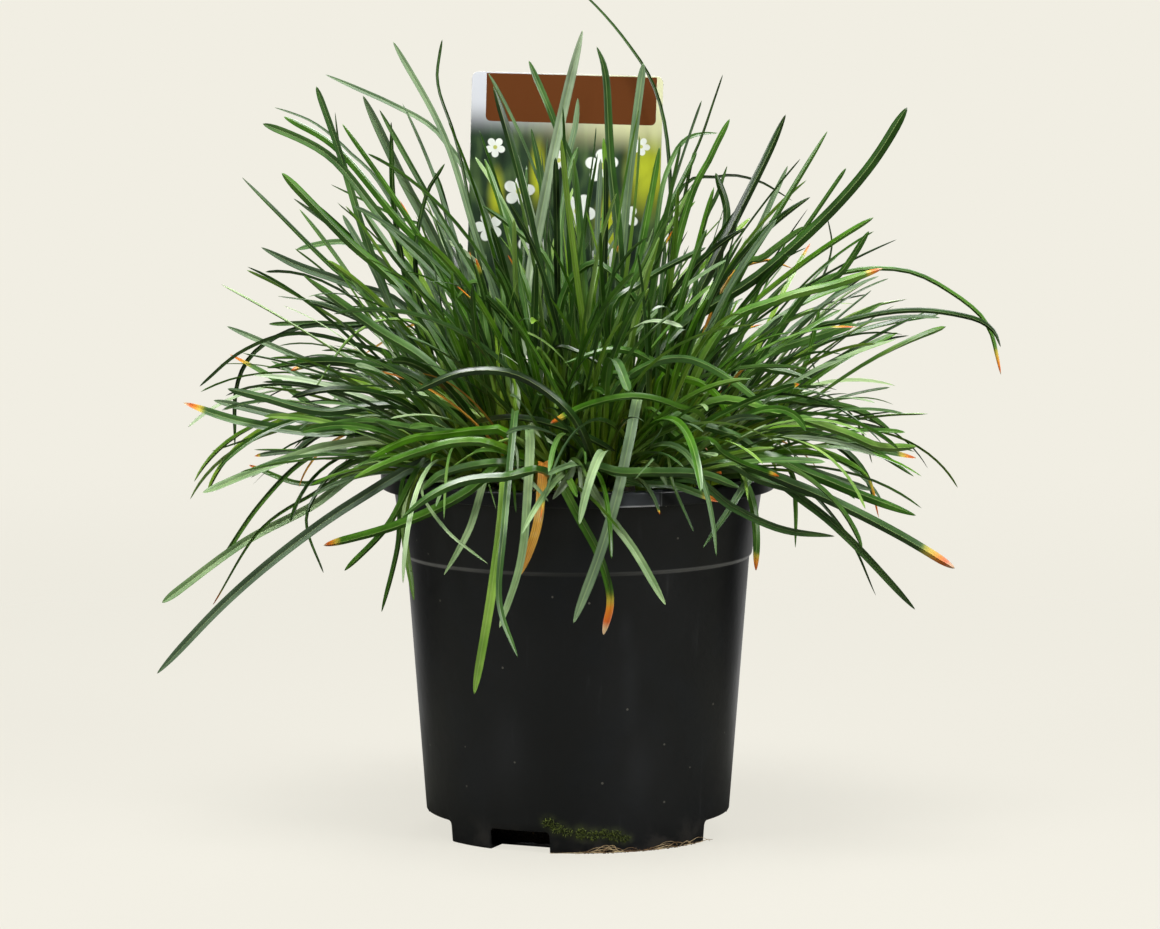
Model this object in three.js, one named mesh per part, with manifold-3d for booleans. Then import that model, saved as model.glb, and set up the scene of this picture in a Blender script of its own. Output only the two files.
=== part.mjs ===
// Potted blue moor grass: a nursery pot of soil, a clump of arching leaf blades and a plain plant label.
// Millimetres, +Z up, the front towards -Y. The origin is on the pot's axis, at the level it stands on.

import * as THREE from "three";
import { mergeVertices } from "three/addons/utils/BufferGeometryUtils.js";
import Module from "manifold-3d";

const wasm = await Module();
wasm.setup();

// Pot: a thin black container with a turned-down rim, a ledge and drain holes at its foot
const POT_SIDES = 36;
const RIM_TOP = 155.3;
const RIM_RADIUS = 85;
const RIM_UNDER = 149;
const RIM_THICK = 1.6;
const RIM_ROUND = 0.9;
const LIP = 1.4;
const NECK_RADIUS = 79.5;
const LEDGE_TOP = 120.5;
const LEDGE_UNDER = 119.3;
const LEDGE_RADIUS = 75.2;
const BODY_RADIUS = 74.1;
const FOOT_RADIUS = 65;
const FOOT_ROUND = 0.8;
const WALL = 1.4;
const FOOT_RING_INNER = 49;
const FLOOR_RISE = 3;
const FLOOR = WALL + FLOOR_RISE;
const DRAIN_AZIMUTHS = [-67.5, -22.5, 67.5, 112.5, 157.5, -112.5];
const DRAIN_WIDTH = 27;
const DRAIN_HEIGHT = 9.1;
const DRAIN_INNER = 51.5;

// Soil: a plug that fills the pot to a little under its rim
const GAP = 0.35;
const SOIL_RIM_HEIGHT = 141;
const SOIL_DOME = 10;
const SOIL_RADIUS = 75.9;
const SOIL_RINGS = [SOIL_RADIUS, 56, 28];
const LUMPS = 1.1;
const SMALL_LUMPS = 0.7;

// Label: an upright card on a tapering stake, behind the middle of the clump
const CARD_WIDTH = 84;
const CARD_HEIGHT = 120;
const CARD_THICKNESS = 0.8;
const CARD_CORNER = 3;
const CARD_X = -4.4;
const CARD_Y = 50;
const CARD_TOP = 325;
const CARD_TILT = THREE.MathUtils.degToRad(1.6);
const STAKE_WIDTH = 22;
const STAKE_NECK = 14;
const STAKE_END = 7;
const STAKE_LENGTH = 112;
const STAKE_POINT = 8;
const STAKE_X = CARD_X - (CARD_TOP - SOIL_RIM_HEIGHT) * Math.sin(CARD_TILT);
const STAKE_CLEAR = 13;

// Tufts: short crowns that stand in the soil in a spiral, each with a bunch of blades
const TUFTS = 36;
const DRY_TUFTS = [13, 22, 24, 28];
const CLUMP_RADIUS = 58;
const GOLDEN_ANGLE = THREE.MathUtils.degToRad(137.50776);
const CROWN_RADIUS = 5;
const CROWN_DEPTH = 12;
const CROWN_HEIGHT = 16;
const CROWN_SIDES = 6;
const CROWN_LEAN = 1 / 320;

// Blades: long, parallel-sided and pointed, with a keel underneath
const STEPS = 24;
const FINE_STEPS = 12;
const BASE_WIDTH = 0.58;
const TIP_START = 0.7;
const KEEL = 1.15;
const KEEL_SHARE = 0.3;
const THINNEST = 0.7;
const FEWEST_FACES = 4;
const MOST_FACES = 7;
const BEND_PER_FACE = 0.75;
const BALL_STEP = 3;
const CLEARANCE = 0.35;
const BLADES_PER_TUFT = 10;
const DRY_PER_TUFT = 5;
const DRY_LENGTH = 0.62;
const GREEN_WIDTHS = [3.1, 4.7];
const DRY_WIDTHS = [1.8, 3.2];
const DRAWN_TWIST = [0.6, 1.4];
const GROWN_TWIST = [1.6, 3.2];
const FACING = 0.35;
const SWAY = THREE.MathUtils.degToRad(50);
const TRIES = 60;
const NEAREST = 6;
const SLIDES = 24;
const SLIDE = 2;
const LOWEST_ROOT = 3;
const ROOT_STEP = 2.5;
const DRAWN_SEED = 70000;

// How far the blades that grow by rule may reach: a ball round a point above the pot, and no lower than this
const REACH = 174;
const REACH_CENTRE = new THREE.Vector3(0, 0, 160);
const REACH_DOWN = 62;

// The ways a blade grows: the share of blades that do, the lean at its root and the droop added towards its
// tip, in degrees, how much more an outer tuft's blade leans, and its length
const UPRIGHT = { share: 0.45, lean: [4, 32], outward: 24, droop: [8, 50], length: [95, 195] };
const ARCHING = { share: 0.37, lean: [30, 58], outward: 8, droop: [18, 66], length: [105, 190] };
const DROOPING = { share: 0.18, lean: [44, 62], outward: 0, droop: [75, 115], length: [100, 175] };
const DROOPING_FROM = 0.45;
const OUTER_SPREAD = 0.38;

// The eye that the hand-drawn blades are seen from
const EYE = new THREE.Vector3(0.9, -2100, 384);

// Blades drawn by hand, one a row: where it leaves the soil (x, y), its width, then the points it passes on
// its way to the tip, each as seen from the front (x, z) at a depth (y).
const DRAWN = [
  // hanging over the front of the pot
  [-42, -38, 4.6, [-62, 160, -62], [-95, 143, -66], [-125, 122, -62], [-153, 98, -54], [-182.5, 67, -44]],
  [-10, -50, 4.8, [-25, 163, -76], [-50, 145, -92], [-78, 132, -98], [-110, 123, -104]],
  [-28, -52, 4.8, [-31, 154, -88], [-33, 133, -100], [-38, 98, -108], [-45, 58, -112]],
  [-35, -48, 3.4, [-38, 156, -80], [-47, 130, -92], [-58, 110, -96]],
  [20, -58, 3.8, [48, 152, -92], [66, 140, -98], [88, 130, -102], [111, 127, -106]],
  [58, -25, 3.0, [80, 166, -34], [92, 155, -38], [94, 140, -40], [94, 122, -40]],
  [52, -35, 4.0, [64, 162, -58], [74, 146, -72], [77, 130, -78], [77, 112, -80]],
  [58, -28, 3.6, [76, 160, -62], [68, 143, -82], [54, 122, -94]],
  [30, -50, 2.2, [38, 162, -76], [41, 150, -88], [50, 129, -96]],
  [-5, -52, 3.8, [0, 156, -82], [14, 135, -96], [25, 120, -102], [38, 97, -108]],
  [28, -40, 4.6, [27, 188, -58], [22, 168, -80], [17, 145, -94], [9, 118, -100], [-2, 89, -104]],
  [-12, -50, 4.2, [-10, 156, -82], [0, 136, -96], [9, 119, -101], [14, 100, -104], [11, 84, -106]],
  [-22, -52, 4.2, [-21, 174, -78], [-22, 142, -102], [-25, 115, -110], [-34, 87, -115]],
  [-30, -45, 3.2, [-27, 182, -70], [-32, 130, -112], [-34, 98, -118], [-26, 74, -122]],
  [-50, -30, 2.2, [-66, 150, -68], [-58, 131, -84], [-39, 115, -92]],
  [-48, -38, 3.6, [-64, 162, -64], [-82, 132, -74], [-101, 112, -80]],
  [-56, -20, 3.0, [-73, 156, -50], [-78, 122, -54], [-85, 94, -56]],
  [-52, -32, 3.4, [-66, 157, -60], [-75, 135, -68], [-71, 99, -74]],
  // spreading to the left
  [-48, -12, 4.2, [-85, 159, -20], [-115, 140, -24], [-145, 124, -28], [-180, 98, -32]],
  [-55, 5, 3.0, [-95, 168, 4], [-118, 160, 4], [-138, 140, 2], [-155, 115, 0]],
  [-58, -5, 2.2, [-92, 156, -8], [-115, 145, -10], [-138, 129, -12], [-158, 97, -14]],
  [-50, -25, 2.2, [-85, 162, -44], [-103, 157, -50], [-115, 142, -54], [-117, 130, -54], [-110, 111, -54]],
  [-35, -30, 4.4, [-75, 168, -40], [-108, 166, -46], [-138, 156, -50], [-162, 146, -54]],
  [-58, 12, 3.2, [-85, 166, 14], [-104, 154, 16], [-120, 150, 18], [-142, 158, 20]],
  [-55, 25, 2.2, [-95, 176, 32], [-128, 173, 36], [-158, 164, 40]],
  [-40, -20, 4.6, [-80, 174, -26], [-110, 172, -28], [-145, 177, -30], [-170, 185, -32]],
  [-48, 15, 4.2, [-85, 177, 18], [-115, 177, 20], [-157, 186, 22]],
  [-30, -42, 4.0, [-70, 182, -56], [-110, 181, -62], [-135, 187, -66], [-151, 191, -68]],
  [-30, 30, 2.8, [-75, 213, 34], [-98, 217, 36], [-118, 218, 38], [-138, 208, 40], [-147, 192, 42],
    [-148, 166, 42]],
  [-25, -5, 2.8, [-70, 200, -6], [-95, 210, -8], [-122, 215, -10], [-145, 207, -12], [-163, 192, -14]],
  [-42, -2, 3.4, [-75, 184, -2], [-100, 196, -2], [-128, 208, -4], [-151, 218, -4]],
  [-55, 30, 4.0, [-85, 172, 40], [-110, 181, 42], [-130, 195, 44], [-150, 206, 44]],
  [-45, 42, 3.0, [-80, 212, 50], [-104, 219, 54], [-133, 219, 58]],
  [-35, -40, 4.4, [-65, 193, -52], [-95, 202, -58], [-115, 203, -62], [-134, 200, -64]],
  [-45, -42, 2.0, [-62, 210, -60], [-80, 221, -64], [-98, 213, -68], [-114, 190, -70]],
  // leaning to the upper left
  [-12, 8, 3.6, [-40, 245, 8], [-57, 299, 10], [-79, 340, 12]],
  [-8, 25, 3.4, [-38, 262, 28], [-58, 299, 32], [-75, 311, 34], [-92, 319, 36], [-108, 326, 38]],
  [-55, -10, 4.0, [-76, 215, -12], [-90, 252, -12], [-102, 292, -12], [-112, 321, -12]],
  [-15, 30, 2.6, [-78, 268, 30], [-98, 293, 30], [-114, 306, 30], [-130, 312, 30]],
  [-5, 0, 4.3, [-52, 236, 0], [-76, 262, 0], [-103, 294, -2], [-126, 308, -4]],
  [-12, -15, 4.3, [-50, 226, -16], [-82, 262, -18], [-103, 288, -20], [-118, 298, -20], [-135, 305, -22]],
  [-45, 20, 2.2, [-88, 250, 20], [-101, 290, 22], [-104, 310, 22]],
  [-20, -25, 3.2, [-56, 236, -26], [-78, 272, -28], [-101, 305, -30]],
  [-25, 12, 4.8, [-55, 240, 12], [-76, 283, 12], [-92, 317, 12]],
  [-8, -8, 3.2, [-40, 232, -8], [-62, 270, -8], [-85, 311, -10]],
  [-50, 8, 3.6, [-72, 230, 6], [-79, 270, 4], [-80, 306, 4]],
  [-35, -12, 3.2, [-80, 222, -14], [-105, 243, -16], [-130, 268, -18], [-144, 282, -20]],
  [-28, -35, 4.4, [-70, 226, -38], [-100, 256, -42], [-127, 284, -46]],
  [-32, 28, 3.8, [-72, 233, 30], [-100, 257, 32], [-122, 273, 34]],
  [-25, 40, 4.0, [-70, 240, 46], [-94, 253, 50], [-108, 254, 52], [-121, 251, 54]],
  [-30, 0, 4.2, [-70, 222, 0], [-98, 236, 0], [-120, 244, 0], [-136, 252, 0]],
  [-20, 45, 2.4, [-60, 252, 48], [-76, 264, 50], [-106, 279, 54]],
  [-40, -30, 3.4, [-76, 215, -34], [-88, 243, -38], [-101, 266, -40]],
  [-36, 45, 2.0, [-78, 218, 50], [-104, 227, 54], [-129, 231, 58]],
  [-22, -48, 4.8, [-60, 198, -56], [-88, 218, -62], [-118, 240, -68]],
  [-35, -20, 4.2, [-60, 222, -22], [-80, 250, -24], [-93, 269, -26]],
  [-58, 0, 3.0, [-69, 235, 0], [-66, 271, 0], [-57, 288, 0]],
  // standing up at the middle
  [-38, 15, 3.4, [-45, 262, 15], [-52, 297, 15], [-60, 322, 15], [-58, 341, 15]],
  [10, 5, 4.0, [0, 272, 8], [-9, 303, 10], [-21, 332, 12]],
  [-22, -20, 5.0, [-21, 235, -20], [-14, 275, -18], [-6, 312, -16], [2, 345, -14]],
  [15, -10, 4.6, [18, 245, -8], [14, 290, -6], [12, 325, -4], [8, 338, -4]],
  [18, 20, 4.4, [20, 262, 22], [24, 300, 24], [28, 331, 26]],
  [35, 35, 2.6, [39, 240, 40], [39, 290, 42], [33, 320, 43], [20, 341, 43], [6, 357, 43], [-10, 371, 43]],
  [-5, 20, 4.2, [-6, 270, 24], [-1, 305, 28], [0, 316, 30]],
  // leaning to the upper right
  [30, 5, 2.4, [46, 275, 6], [54, 302, 6], [62, 326, 6]],
  [28, -12, 4.0, [45, 262, -14], [57, 291, -16], [65, 307, -16]],
  [30, 22, 3.0, [34, 262, 24], [42, 293, 26], [50, 300, 26], [60, 301, 26]],
  [20, -20, 4.6, [40, 206, -22], [58, 245, -24], [79, 287, -26], [89, 309, -26]],
  [42, 10, 3.0, [52, 250, 10], [60, 275, 10], [64, 287, 10]],
  [22, 42, 2.6, [40, 268, 50], [58, 282, 54], [76, 281, 58], [92, 272, 60]],
  [48, -5, 4.2, [60, 240, -6], [64, 266, -6], [59, 284, -6]],
  [30, -30, 3.0, [66, 232, -34], [83, 262, -38], [107, 302, -42]],
  [45, 25, 3.4, [68, 237, 28], [80, 265, 30], [90, 287, 32]],
  [40, -5, 2.8, [78, 235, -6], [93, 254, -6], [115, 286, -8]],
  [12, -30, 4.8, [38, 210, -34], [78, 240, -42], [106, 265, -48], [126, 288, -52], [141, 312, -54]],
  [35, -45, 4.0, [66, 236, -52], [80, 248, -56], [97, 261, -60]],
  [50, 35, 2.2, [92, 222, 44], [104, 237, 50], [109, 252, 52], [107, 265, 52]],
  [42, -25, 3.6, [95, 228, -34], [112, 240, -38], [125, 259, -42]],
  [28, -42, 4.4, [60, 214, -56], [85, 229, -62], [110, 236, -66], [131, 243, -70]],
  [25, -15, 4.6, [60, 196, -18], [84, 207, -20], [108, 215, -22], [120, 219, -22]],
  // the two long arcs on the right
  [30, 8, 2.8, [70, 216, 4], [96, 234, 0], [118, 242, -4], [141, 242, -8], [160, 233, -12], [176, 219, -16],
    [182.2, 197, -20]],
  [46, -15, 3.0, [88, 209, -20], [118, 221, -26], [145, 225, -30], [168, 222, -34], [178, 217, -35],
    [182, 209, -36]],
  // spreading to the right
  [55, -20, 3.0, [72, 172, -28], [88, 182, -32], [98, 202, -34], [104, 226, -34]],
  [50, 15, 2.0, [75, 208, 24], [92, 212, 26], [100, 204, 26], [104, 193, 26]],
  [45, -35, 4.2, [72, 196, -44], [85, 199, -48], [101, 195, -52]],
  [52, 40, 2.4, [70, 196, 48], [82, 202, 52], [94, 202, 56]],
  [55, 10, 3.8, [75, 184, 12], [90, 187, 14], [102, 190, 16]],
  [50, -28, 4.2, [80, 184, -34], [100, 185, -38], [120, 182, -42], [135, 173, -44]],
  [58, 5, 3.0, [80, 180, 4], [97, 178, 4], [120, 176, 2], [135, 173, 2]],
  [20, -50, 4.6, [55, 184, -66], [85, 181, -74], [115, 172, -80], [130, 166, -82], [146, 166, -84]],
  [48, 22, 4.2, [80, 175, 24], [105, 171, 26], [125, 166, 28], [146, 161, 30]],
  [57, -12, 3.6, [85, 172, -16], [110, 170, -18], [128, 164, -20], [145, 153, -22]],
  [40, -48, 4.8, [75, 162, -62], [100, 154, -66], [122, 145, -70], [146, 136, -74]],
  [58, 25, 4.0, [80, 164, 28], [100, 156, 32], [127, 147, 36]],
  [55, -30, 2.4, [78, 170, -36], [104, 165, -40], [124, 154, -42], [130, 135, -42]],
  [30, -55, 4.8, [66, 158, -80], [92, 150, -86], [115, 140, -90], [140, 127, -94], [163, 113, -96]],
  [45, -42, 4.6, [76, 154, -64], [98, 142, -70], [118, 125, -74], [146, 95, -78]],
  [60, -5, 2.0, [92, 152, -10], [116, 128, -12], [129, 101, -14]],
  // arching towards the front and the back
  [-15, -30, 2.6, [-12, 205, -50], [0, 207, -58], [14, 198, -64], [27, 187, -68]],
  [-10, -15, 4.0, [-8, 225, -30], [5, 245, -40], [18, 238, -48], [33, 218, -54]],
  [-32, -35, 2.6, [-33, 195, -38], [-35, 210, -38], [-37, 224, -38]],
  [8, -46, 4.2, [12, 196, -84], [16, 204, -124], [22, 190, -168]],
  [9, 54, 4.2, [12, 204, 96], [2, 214, 132], [-10, 196, 168]],
];

// Dry blades drawn by hand, in the same form
const DRAWN_DRY = [
  [-17, -48, 4.4, [-15, 160, -82], [-16, 145, -94], [-18, 130, -99], [-25, 110, -102]],
  [35, -8, 2.6, [60, 230, -22], [78, 246, -30], [92, 243, -36]],
  [-38, 26, 2.4, [-58, 214, 34], [-70, 219, 38], [-92, 206, 44]],
];

// Shared helpers

const degrees = THREE.MathUtils.degToRad;
const mix = (from, to, share) => from + (to - from) * share;

// A closed geometry as a solid that can be joined and cut.
function solidOf(geometry) {
  const bare = geometry.clone();
  bare.deleteAttribute("normal");
  bare.deleteAttribute("uv");
  const merged = mergeVertices(bare, 1e-4);
  return new wasm.Manifold(
    new wasm.Mesh({
      numProp: 3,
      vertProperties: new Float32Array(merged.attributes.position.array),
      triVerts: new Uint32Array(merged.index.array),
    }),
  );
}

// A joined or cut solid as a geometry again.
function geometryOf(solid) {
  const mesh = solid.getMesh();
  const geometry = new THREE.BufferGeometry();
  geometry.setAttribute("position", new THREE.BufferAttribute(mesh.vertProperties, 3));
  geometry.setIndex(new THREE.BufferAttribute(mesh.triVerts, 1));
  geometry.computeVertexNormals();
  return geometry;
}

// The closed skin over a row of rings that all have the same number of points. A ring of one point is a tip.
// The sides from `turned` on are split along their other diagonal.
function loft(rings, turned = Infinity) {
  const points = rings.flat();
  const faces = [];
  let start = 0;
  const first = rings[0].length;
  for (let i = 1; i < first - 1; i++) faces.push(0, i + 1, i);
  for (let k = 0; k < rings.length - 1; k++) {
    const here = rings[k].length;
    const next = rings[k + 1].length;
    const above = start + here;
    for (let i = 0; i < Math.max(here, next); i++) {
      const j = (i + 1) % Math.max(here, next);
      if (here === 1) {
        faces.push(start, above + j, above + i);
      } else if (next === 1) {
        faces.push(start + i, start + j, above);
      } else if (i < turned) {
        faces.push(start + i, start + j, above + j, start + i, above + j, above + i);
      } else {
        faces.push(start + i, start + j, above + i, start + j, above + j, above + i);
      }
    }
    start = above;
  }
  const last = rings[rings.length - 1].length;
  for (let i = 1; i < last - 1; i++) faces.push(start, start + i, start + i + 1);
  const geometry = new THREE.BufferGeometry().setFromPoints(points);
  geometry.setIndex(faces);
  return geometry;
}

// A ring of points at a radius and height round a vertical axis, starting at the front.
function ring(radius, height, sides, centre = new THREE.Vector3()) {
  return Array.from({ length: sides }, (_, i) => {
    const a = (2 * Math.PI * i) / sides;
    return new THREE.Vector3(centre.x + radius * Math.sin(a), centre.y - radius * Math.cos(a), height);
  });
}

// Even random numbers from 0 to 1, always the same ones for the same seed.
function draws(seed) {
  let state = Math.imul(seed, 2654435761) >>> 0;
  const next = () => {
    state = (Math.imul(state, 1664525) + 1013904223) >>> 0;
    return state / 4294967296;
  };
  next();
  next();
  return next;
}

// Pot

// The inner radius of the pot's wall at a height.
function potInside(height) {
  const [r0, z0, r1, z1] =
    height < LEDGE_TOP
      ? [FOOT_RADIUS, 0, BODY_RADIUS, LEDGE_UNDER]
      : [LEDGE_RADIUS, LEDGE_TOP, NECK_RADIUS, RIM_UNDER];
  return r0 + ((r1 - r0) * (height - z0)) / (z1 - z0) - WALL;
}

function pot() {
  const profile = [
    [0, FLOOR_RISE],
    [FOOT_RING_INNER - FLOOR_RISE, FLOOR_RISE],
    [FOOT_RING_INNER, 0],
    [FOOT_RADIUS - FOOT_ROUND, 0],
    [FOOT_RADIUS, FOOT_ROUND],
    [BODY_RADIUS, LEDGE_UNDER],
    [LEDGE_RADIUS, LEDGE_TOP],
    [NECK_RADIUS, RIM_UNDER],
    [NECK_RADIUS, RIM_TOP - RIM_THICK],
    [RIM_RADIUS - LIP, RIM_TOP - RIM_THICK],
    [RIM_RADIUS - LIP, RIM_UNDER],
    [RIM_RADIUS, RIM_UNDER],
    [RIM_RADIUS, RIM_TOP - RIM_ROUND],
    [RIM_RADIUS - RIM_ROUND, RIM_TOP],
    [potInside(RIM_UNDER), RIM_TOP],
    [potInside(LEDGE_TOP), LEDGE_TOP],
    [potInside(LEDGE_UNDER), LEDGE_UNDER],
    [potInside(WALL), WALL],
    [FOOT_RING_INNER + WALL / 2, WALL],
    [FOOT_RING_INNER + WALL / 2 - FLOOR_RISE, FLOOR],
    [0, FLOOR],
  ];
  const wall = new THREE.LatheGeometry(
    profile.map(([r, z]) => new THREE.Vector2(r, z)),
    POT_SIDES,
  ).rotateX(Math.PI / 2);
  let body = solidOf(wall);
  const depth = BODY_RADIUS - DRAIN_INNER;
  for (const azimuth of DRAIN_AZIMUTHS) {
    const hole = new THREE.BoxGeometry(DRAIN_WIDTH, depth, 2 * DRAIN_HEIGHT)
      .translate(0, -DRAIN_INNER - depth / 2, 0)
      .rotateZ(degrees(azimuth));
    body = body.subtract(solidOf(hole));
  }
  return geometryOf(body);
}

// Soil

// The height of the soil's lumpy top.
function soilTop(x, y) {
  const dome = SOIL_DOME * (1 - (x * x + y * y) / (SOIL_RADIUS * SOIL_RADIUS));
  const lumps = LUMPS * Math.sin(0.11 * x + 1) * Math.cos(0.13 * y);
  return SOIL_RIM_HEIGHT + dome + lumps + SMALL_LUMPS * Math.sin(0.23 * x - 0.19 * y);
}

function soil(tufts) {
  const rise = FOOT_RING_INNER + WALL / 2 + GAP;
  const rings = [
    [new THREE.Vector3(0, 0, FLOOR + GAP)],
    ring(rise - FLOOR_RISE, FLOOR + GAP, POT_SIDES),
    ring(rise, WALL + GAP, POT_SIDES),
    ring(potInside(WALL) - GAP, WALL + GAP, POT_SIDES),
    ring(potInside(LEDGE_UNDER) - GAP, LEDGE_UNDER, POT_SIDES),
  ];
  for (const radius of SOIL_RINGS) {
    const level = ring(radius, 0, POT_SIDES);
    for (const point of level) point.z = soilTop(point.x, point.y);
    rings.push(level);
  }
  rings.push([new THREE.Vector3(0, 0, soilTop(0, 0))]);
  let plug = solidOf(loft(rings));
  for (const tuft of tufts) {
    const bottom = tuft.ground - CROWN_DEPTH - GAP;
    const radius = CROWN_RADIUS + GAP;
    const mouth = tuft.ground + CROWN_DEPTH;
    const hole = loft([ring(radius, bottom, CROWN_SIDES, tuft), ring(radius, mouth, CROWN_SIDES, tuft)]);
    plug = plug.subtract(solidOf(hole));
  }
  return geometryOf(plug.subtract(solidOf(labelShape(GAP))));
}

// Label

// The card and its stake as one flat piece, grown by a margin on every side.
function labelShape(margin) {
  const half = CARD_WIDTH / 2 + margin;
  const low = -CARD_HEIGHT - margin;
  const corner = CARD_CORNER;
  const stake = (width) => width / 2 + margin;
  const outline = new THREE.Shape();
  outline.moveTo(-half + corner, margin);
  outline.absarc(-half + corner, margin - corner, corner, Math.PI / 2, Math.PI, false);
  outline.absarc(-half + corner, low + corner, corner, Math.PI, 1.5 * Math.PI, false);
  outline.lineTo(-stake(STAKE_WIDTH), low);
  outline.lineTo(-stake(STAKE_NECK), low - STAKE_LENGTH / 2);
  outline.lineTo(-stake(STAKE_END), low - STAKE_LENGTH + STAKE_POINT);
  outline.lineTo(0, low - STAKE_LENGTH);
  outline.lineTo(stake(STAKE_END), low - STAKE_LENGTH + STAKE_POINT);
  outline.lineTo(stake(STAKE_NECK), low - STAKE_LENGTH / 2);
  outline.lineTo(stake(STAKE_WIDTH), low);
  outline.absarc(half - corner, low + corner, corner, -Math.PI / 2, 0, false);
  outline.absarc(half - corner, margin - corner, corner, 0, Math.PI / 2, false);
  const thickness = CARD_THICKNESS + 2 * margin;
  return new THREE.ExtrudeGeometry(outline, { depth: thickness, bevelEnabled: false, curveSegments: 3 })
    .translate(0, 0, -thickness / 2)
    .rotateX(Math.PI / 2)
    .rotateY(CARD_TILT)
    .translate(CARD_X, CARD_Y, CARD_TOP);
}

// Tufts and their crowns

// Where the tufts stand: a spiral that fills the clump evenly.
function tuftPlaces() {
  return Array.from({ length: TUFTS }, (_, i) => {
    const radius = CLUMP_RADIUS * Math.sqrt((i + 0.5) / TUFTS);
    const angle = i * GOLDEN_ANGLE;
    const place = new THREE.Vector3(radius * Math.cos(angle), radius * Math.sin(angle), 0);
    const beside = place.x - STAKE_X;
    if (Math.abs(place.y - CARD_Y) < STAKE_CLEAR / 2 && Math.abs(beside) < STAKE_CLEAR) {
      place.x = STAKE_X + STAKE_CLEAR * Math.sign(beside);
    }
    place.ground = soilTop(place.x, place.y);
    place.dry = DRY_TUFTS.includes(i);
    place.number = i;
    place.blades = [];
    return place;
  });
}

// The short crown that a tuft's blades grow from, leaning outwards a little.
function crown(tuft) {
  const height = tuft.dry ? CROWN_HEIGHT / 2 : CROWN_HEIGHT;
  const top = tuft.clone().multiplyScalar(1 + height * CROWN_LEAN);
  return loft([
    ring(CROWN_RADIUS, tuft.ground - CROWN_DEPTH, CROWN_SIDES, tuft),
    ring(CROWN_RADIUS, tuft.ground + CROWN_HEIGHT / 4, CROWN_SIDES, tuft),
    ring(CROWN_RADIUS / 2, tuft.ground + height, CROWN_SIDES, top),
  ]);
}

// Blades

// A point seen from the front, at its depth.
function seen([x, z, y]) {
  const share = (y - EYE.y) / (0 - EYE.y);
  return new THREE.Vector3(EYE.x + (x - EYE.x) * share, y, EYE.z + (z - EYE.z) * share);
}

// Points at even steps along a smooth curve through the given ones.
function drawnSpine(through) {
  const count = through.length;
  const before = through[0].clone().multiplyScalar(2).sub(through[1]);
  const after = through[count - 1].clone().multiplyScalar(2).sub(through[count - 2]);
  const posts = [before, ...through, after];
  const fine = [through[0].clone()];
  for (let k = 1; k < count; k++) {
    for (let i = 1; i <= FINE_STEPS; i++) {
      const u = i / FINE_STEPS;
      const weights = [
        -0.5 * u + u * u - 0.5 * u * u * u,
        1 - 2.5 * u * u + 1.5 * u * u * u,
        0.5 * u + 2 * u * u - 1.5 * u * u * u,
        -0.5 * u * u + 0.5 * u * u * u,
      ];
      const point = new THREE.Vector3();
      weights.forEach((weight, w) => point.addScaledVector(posts[k - 1 + w], weight));
      fine.push(point);
    }
  }
  const walked = [0];
  for (let i = 1; i < fine.length; i++) walked.push(walked[i - 1] + fine[i].distanceTo(fine[i - 1]));
  const whole = walked[walked.length - 1];
  const spine = [];
  let i = 0;
  for (let step = 0; step <= STEPS; step++) {
    const goal = (whole * step) / STEPS;
    while (i < fine.length - 2 && walked[i + 1] < goal) i++;
    const share = Math.min(1, (goal - walked[i]) / (walked[i + 1] - walked[i]));
    spine.push(fine[i].clone().lerp(fine[i + 1], share));
  }
  return spine;
}

// Points along a blade that leans from upright at its root and droops more and more towards its tip.
function grownSpine(root, { heading, lean, droop, sway, length }) {
  const spine = [root.clone()];
  for (let i = 0; i < STEPS; i++) {
    const s = (i + 0.5) / STEPS;
    const tilt = lean + droop * s * mix(0.35, 1, s);
    const turn = heading + sway * s;
    const step = new THREE.Vector3(
      Math.sin(tilt) * Math.cos(turn),
      Math.sin(tilt) * Math.sin(turn),
      Math.cos(tilt),
    );
    spine.push(spine[i].clone().addScaledVector(step, length / STEPS));
  }
  return spine;
}

// A blade's width at a share of its length: narrow at the root, then parallel, then quickly pointed.
function widthAt(width, s) {
  const base = Math.min(1, BASE_WIDTH + 1.9 * s);
  const tip = s < TIP_START ? 1 : 1 - ((s - TIP_START) / (1 - TIP_START)) ** 2.4;
  return width * base * tip;
}

// How far its keel stands under its edges.
function keelAt(width, s) {
  return Math.max(THINNEST, Math.min(KEEL, KEEL_SHARE * widthAt(width, s)));
}

// The places along the spine where a blade's faces break: more of them where it bends more.
function stationsOf(spine) {
  let bend = 0;
  for (let i = 1; i < STEPS; i++) {
    const before = spine[i].clone().sub(spine[i - 1]);
    const after = spine[i + 1].clone().sub(spine[i]);
    bend += before.angleTo(after);
  }
  const count = Math.min(MOST_FACES, FEWEST_FACES + Math.floor(bend / BEND_PER_FACE));
  return Array.from({ length: count + 1 }, (_, k) => Math.round((STEPS * k) / count));
}

// Where a blade takes up room: balls of its half width along its straight stretches.
function roomOf(spine, width) {
  const stations = stationsOf(spine);
  const balls = [];
  let along = 0;
  for (let k = 1; k < stations.length; k++) {
    const [from, to] = [spine[stations[k - 1]], spine[stations[k]]];
    const [wide, narrow] = [stations[k - 1], stations[k]].map((i) =>
      Math.max(widthAt(width, i / STEPS) / 2, keelAt(width, i / STEPS)),
    );
    const length = from.distanceTo(to);
    const count = Math.ceil(length / BALL_STEP);
    for (let i = 0; i < count; i++) {
      const share = i / count;
      const ball = from.clone().lerp(to, share);
      ball.size = wide + (narrow - wide) * share;
      ball.along = along + length * share;
      balls.push(ball);
    }
    along += length;
  }
  return balls;
}

// What is already taken, in cells that each list every ball near enough to matter.
const CELL = 9;
const taken = new Map();

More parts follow.
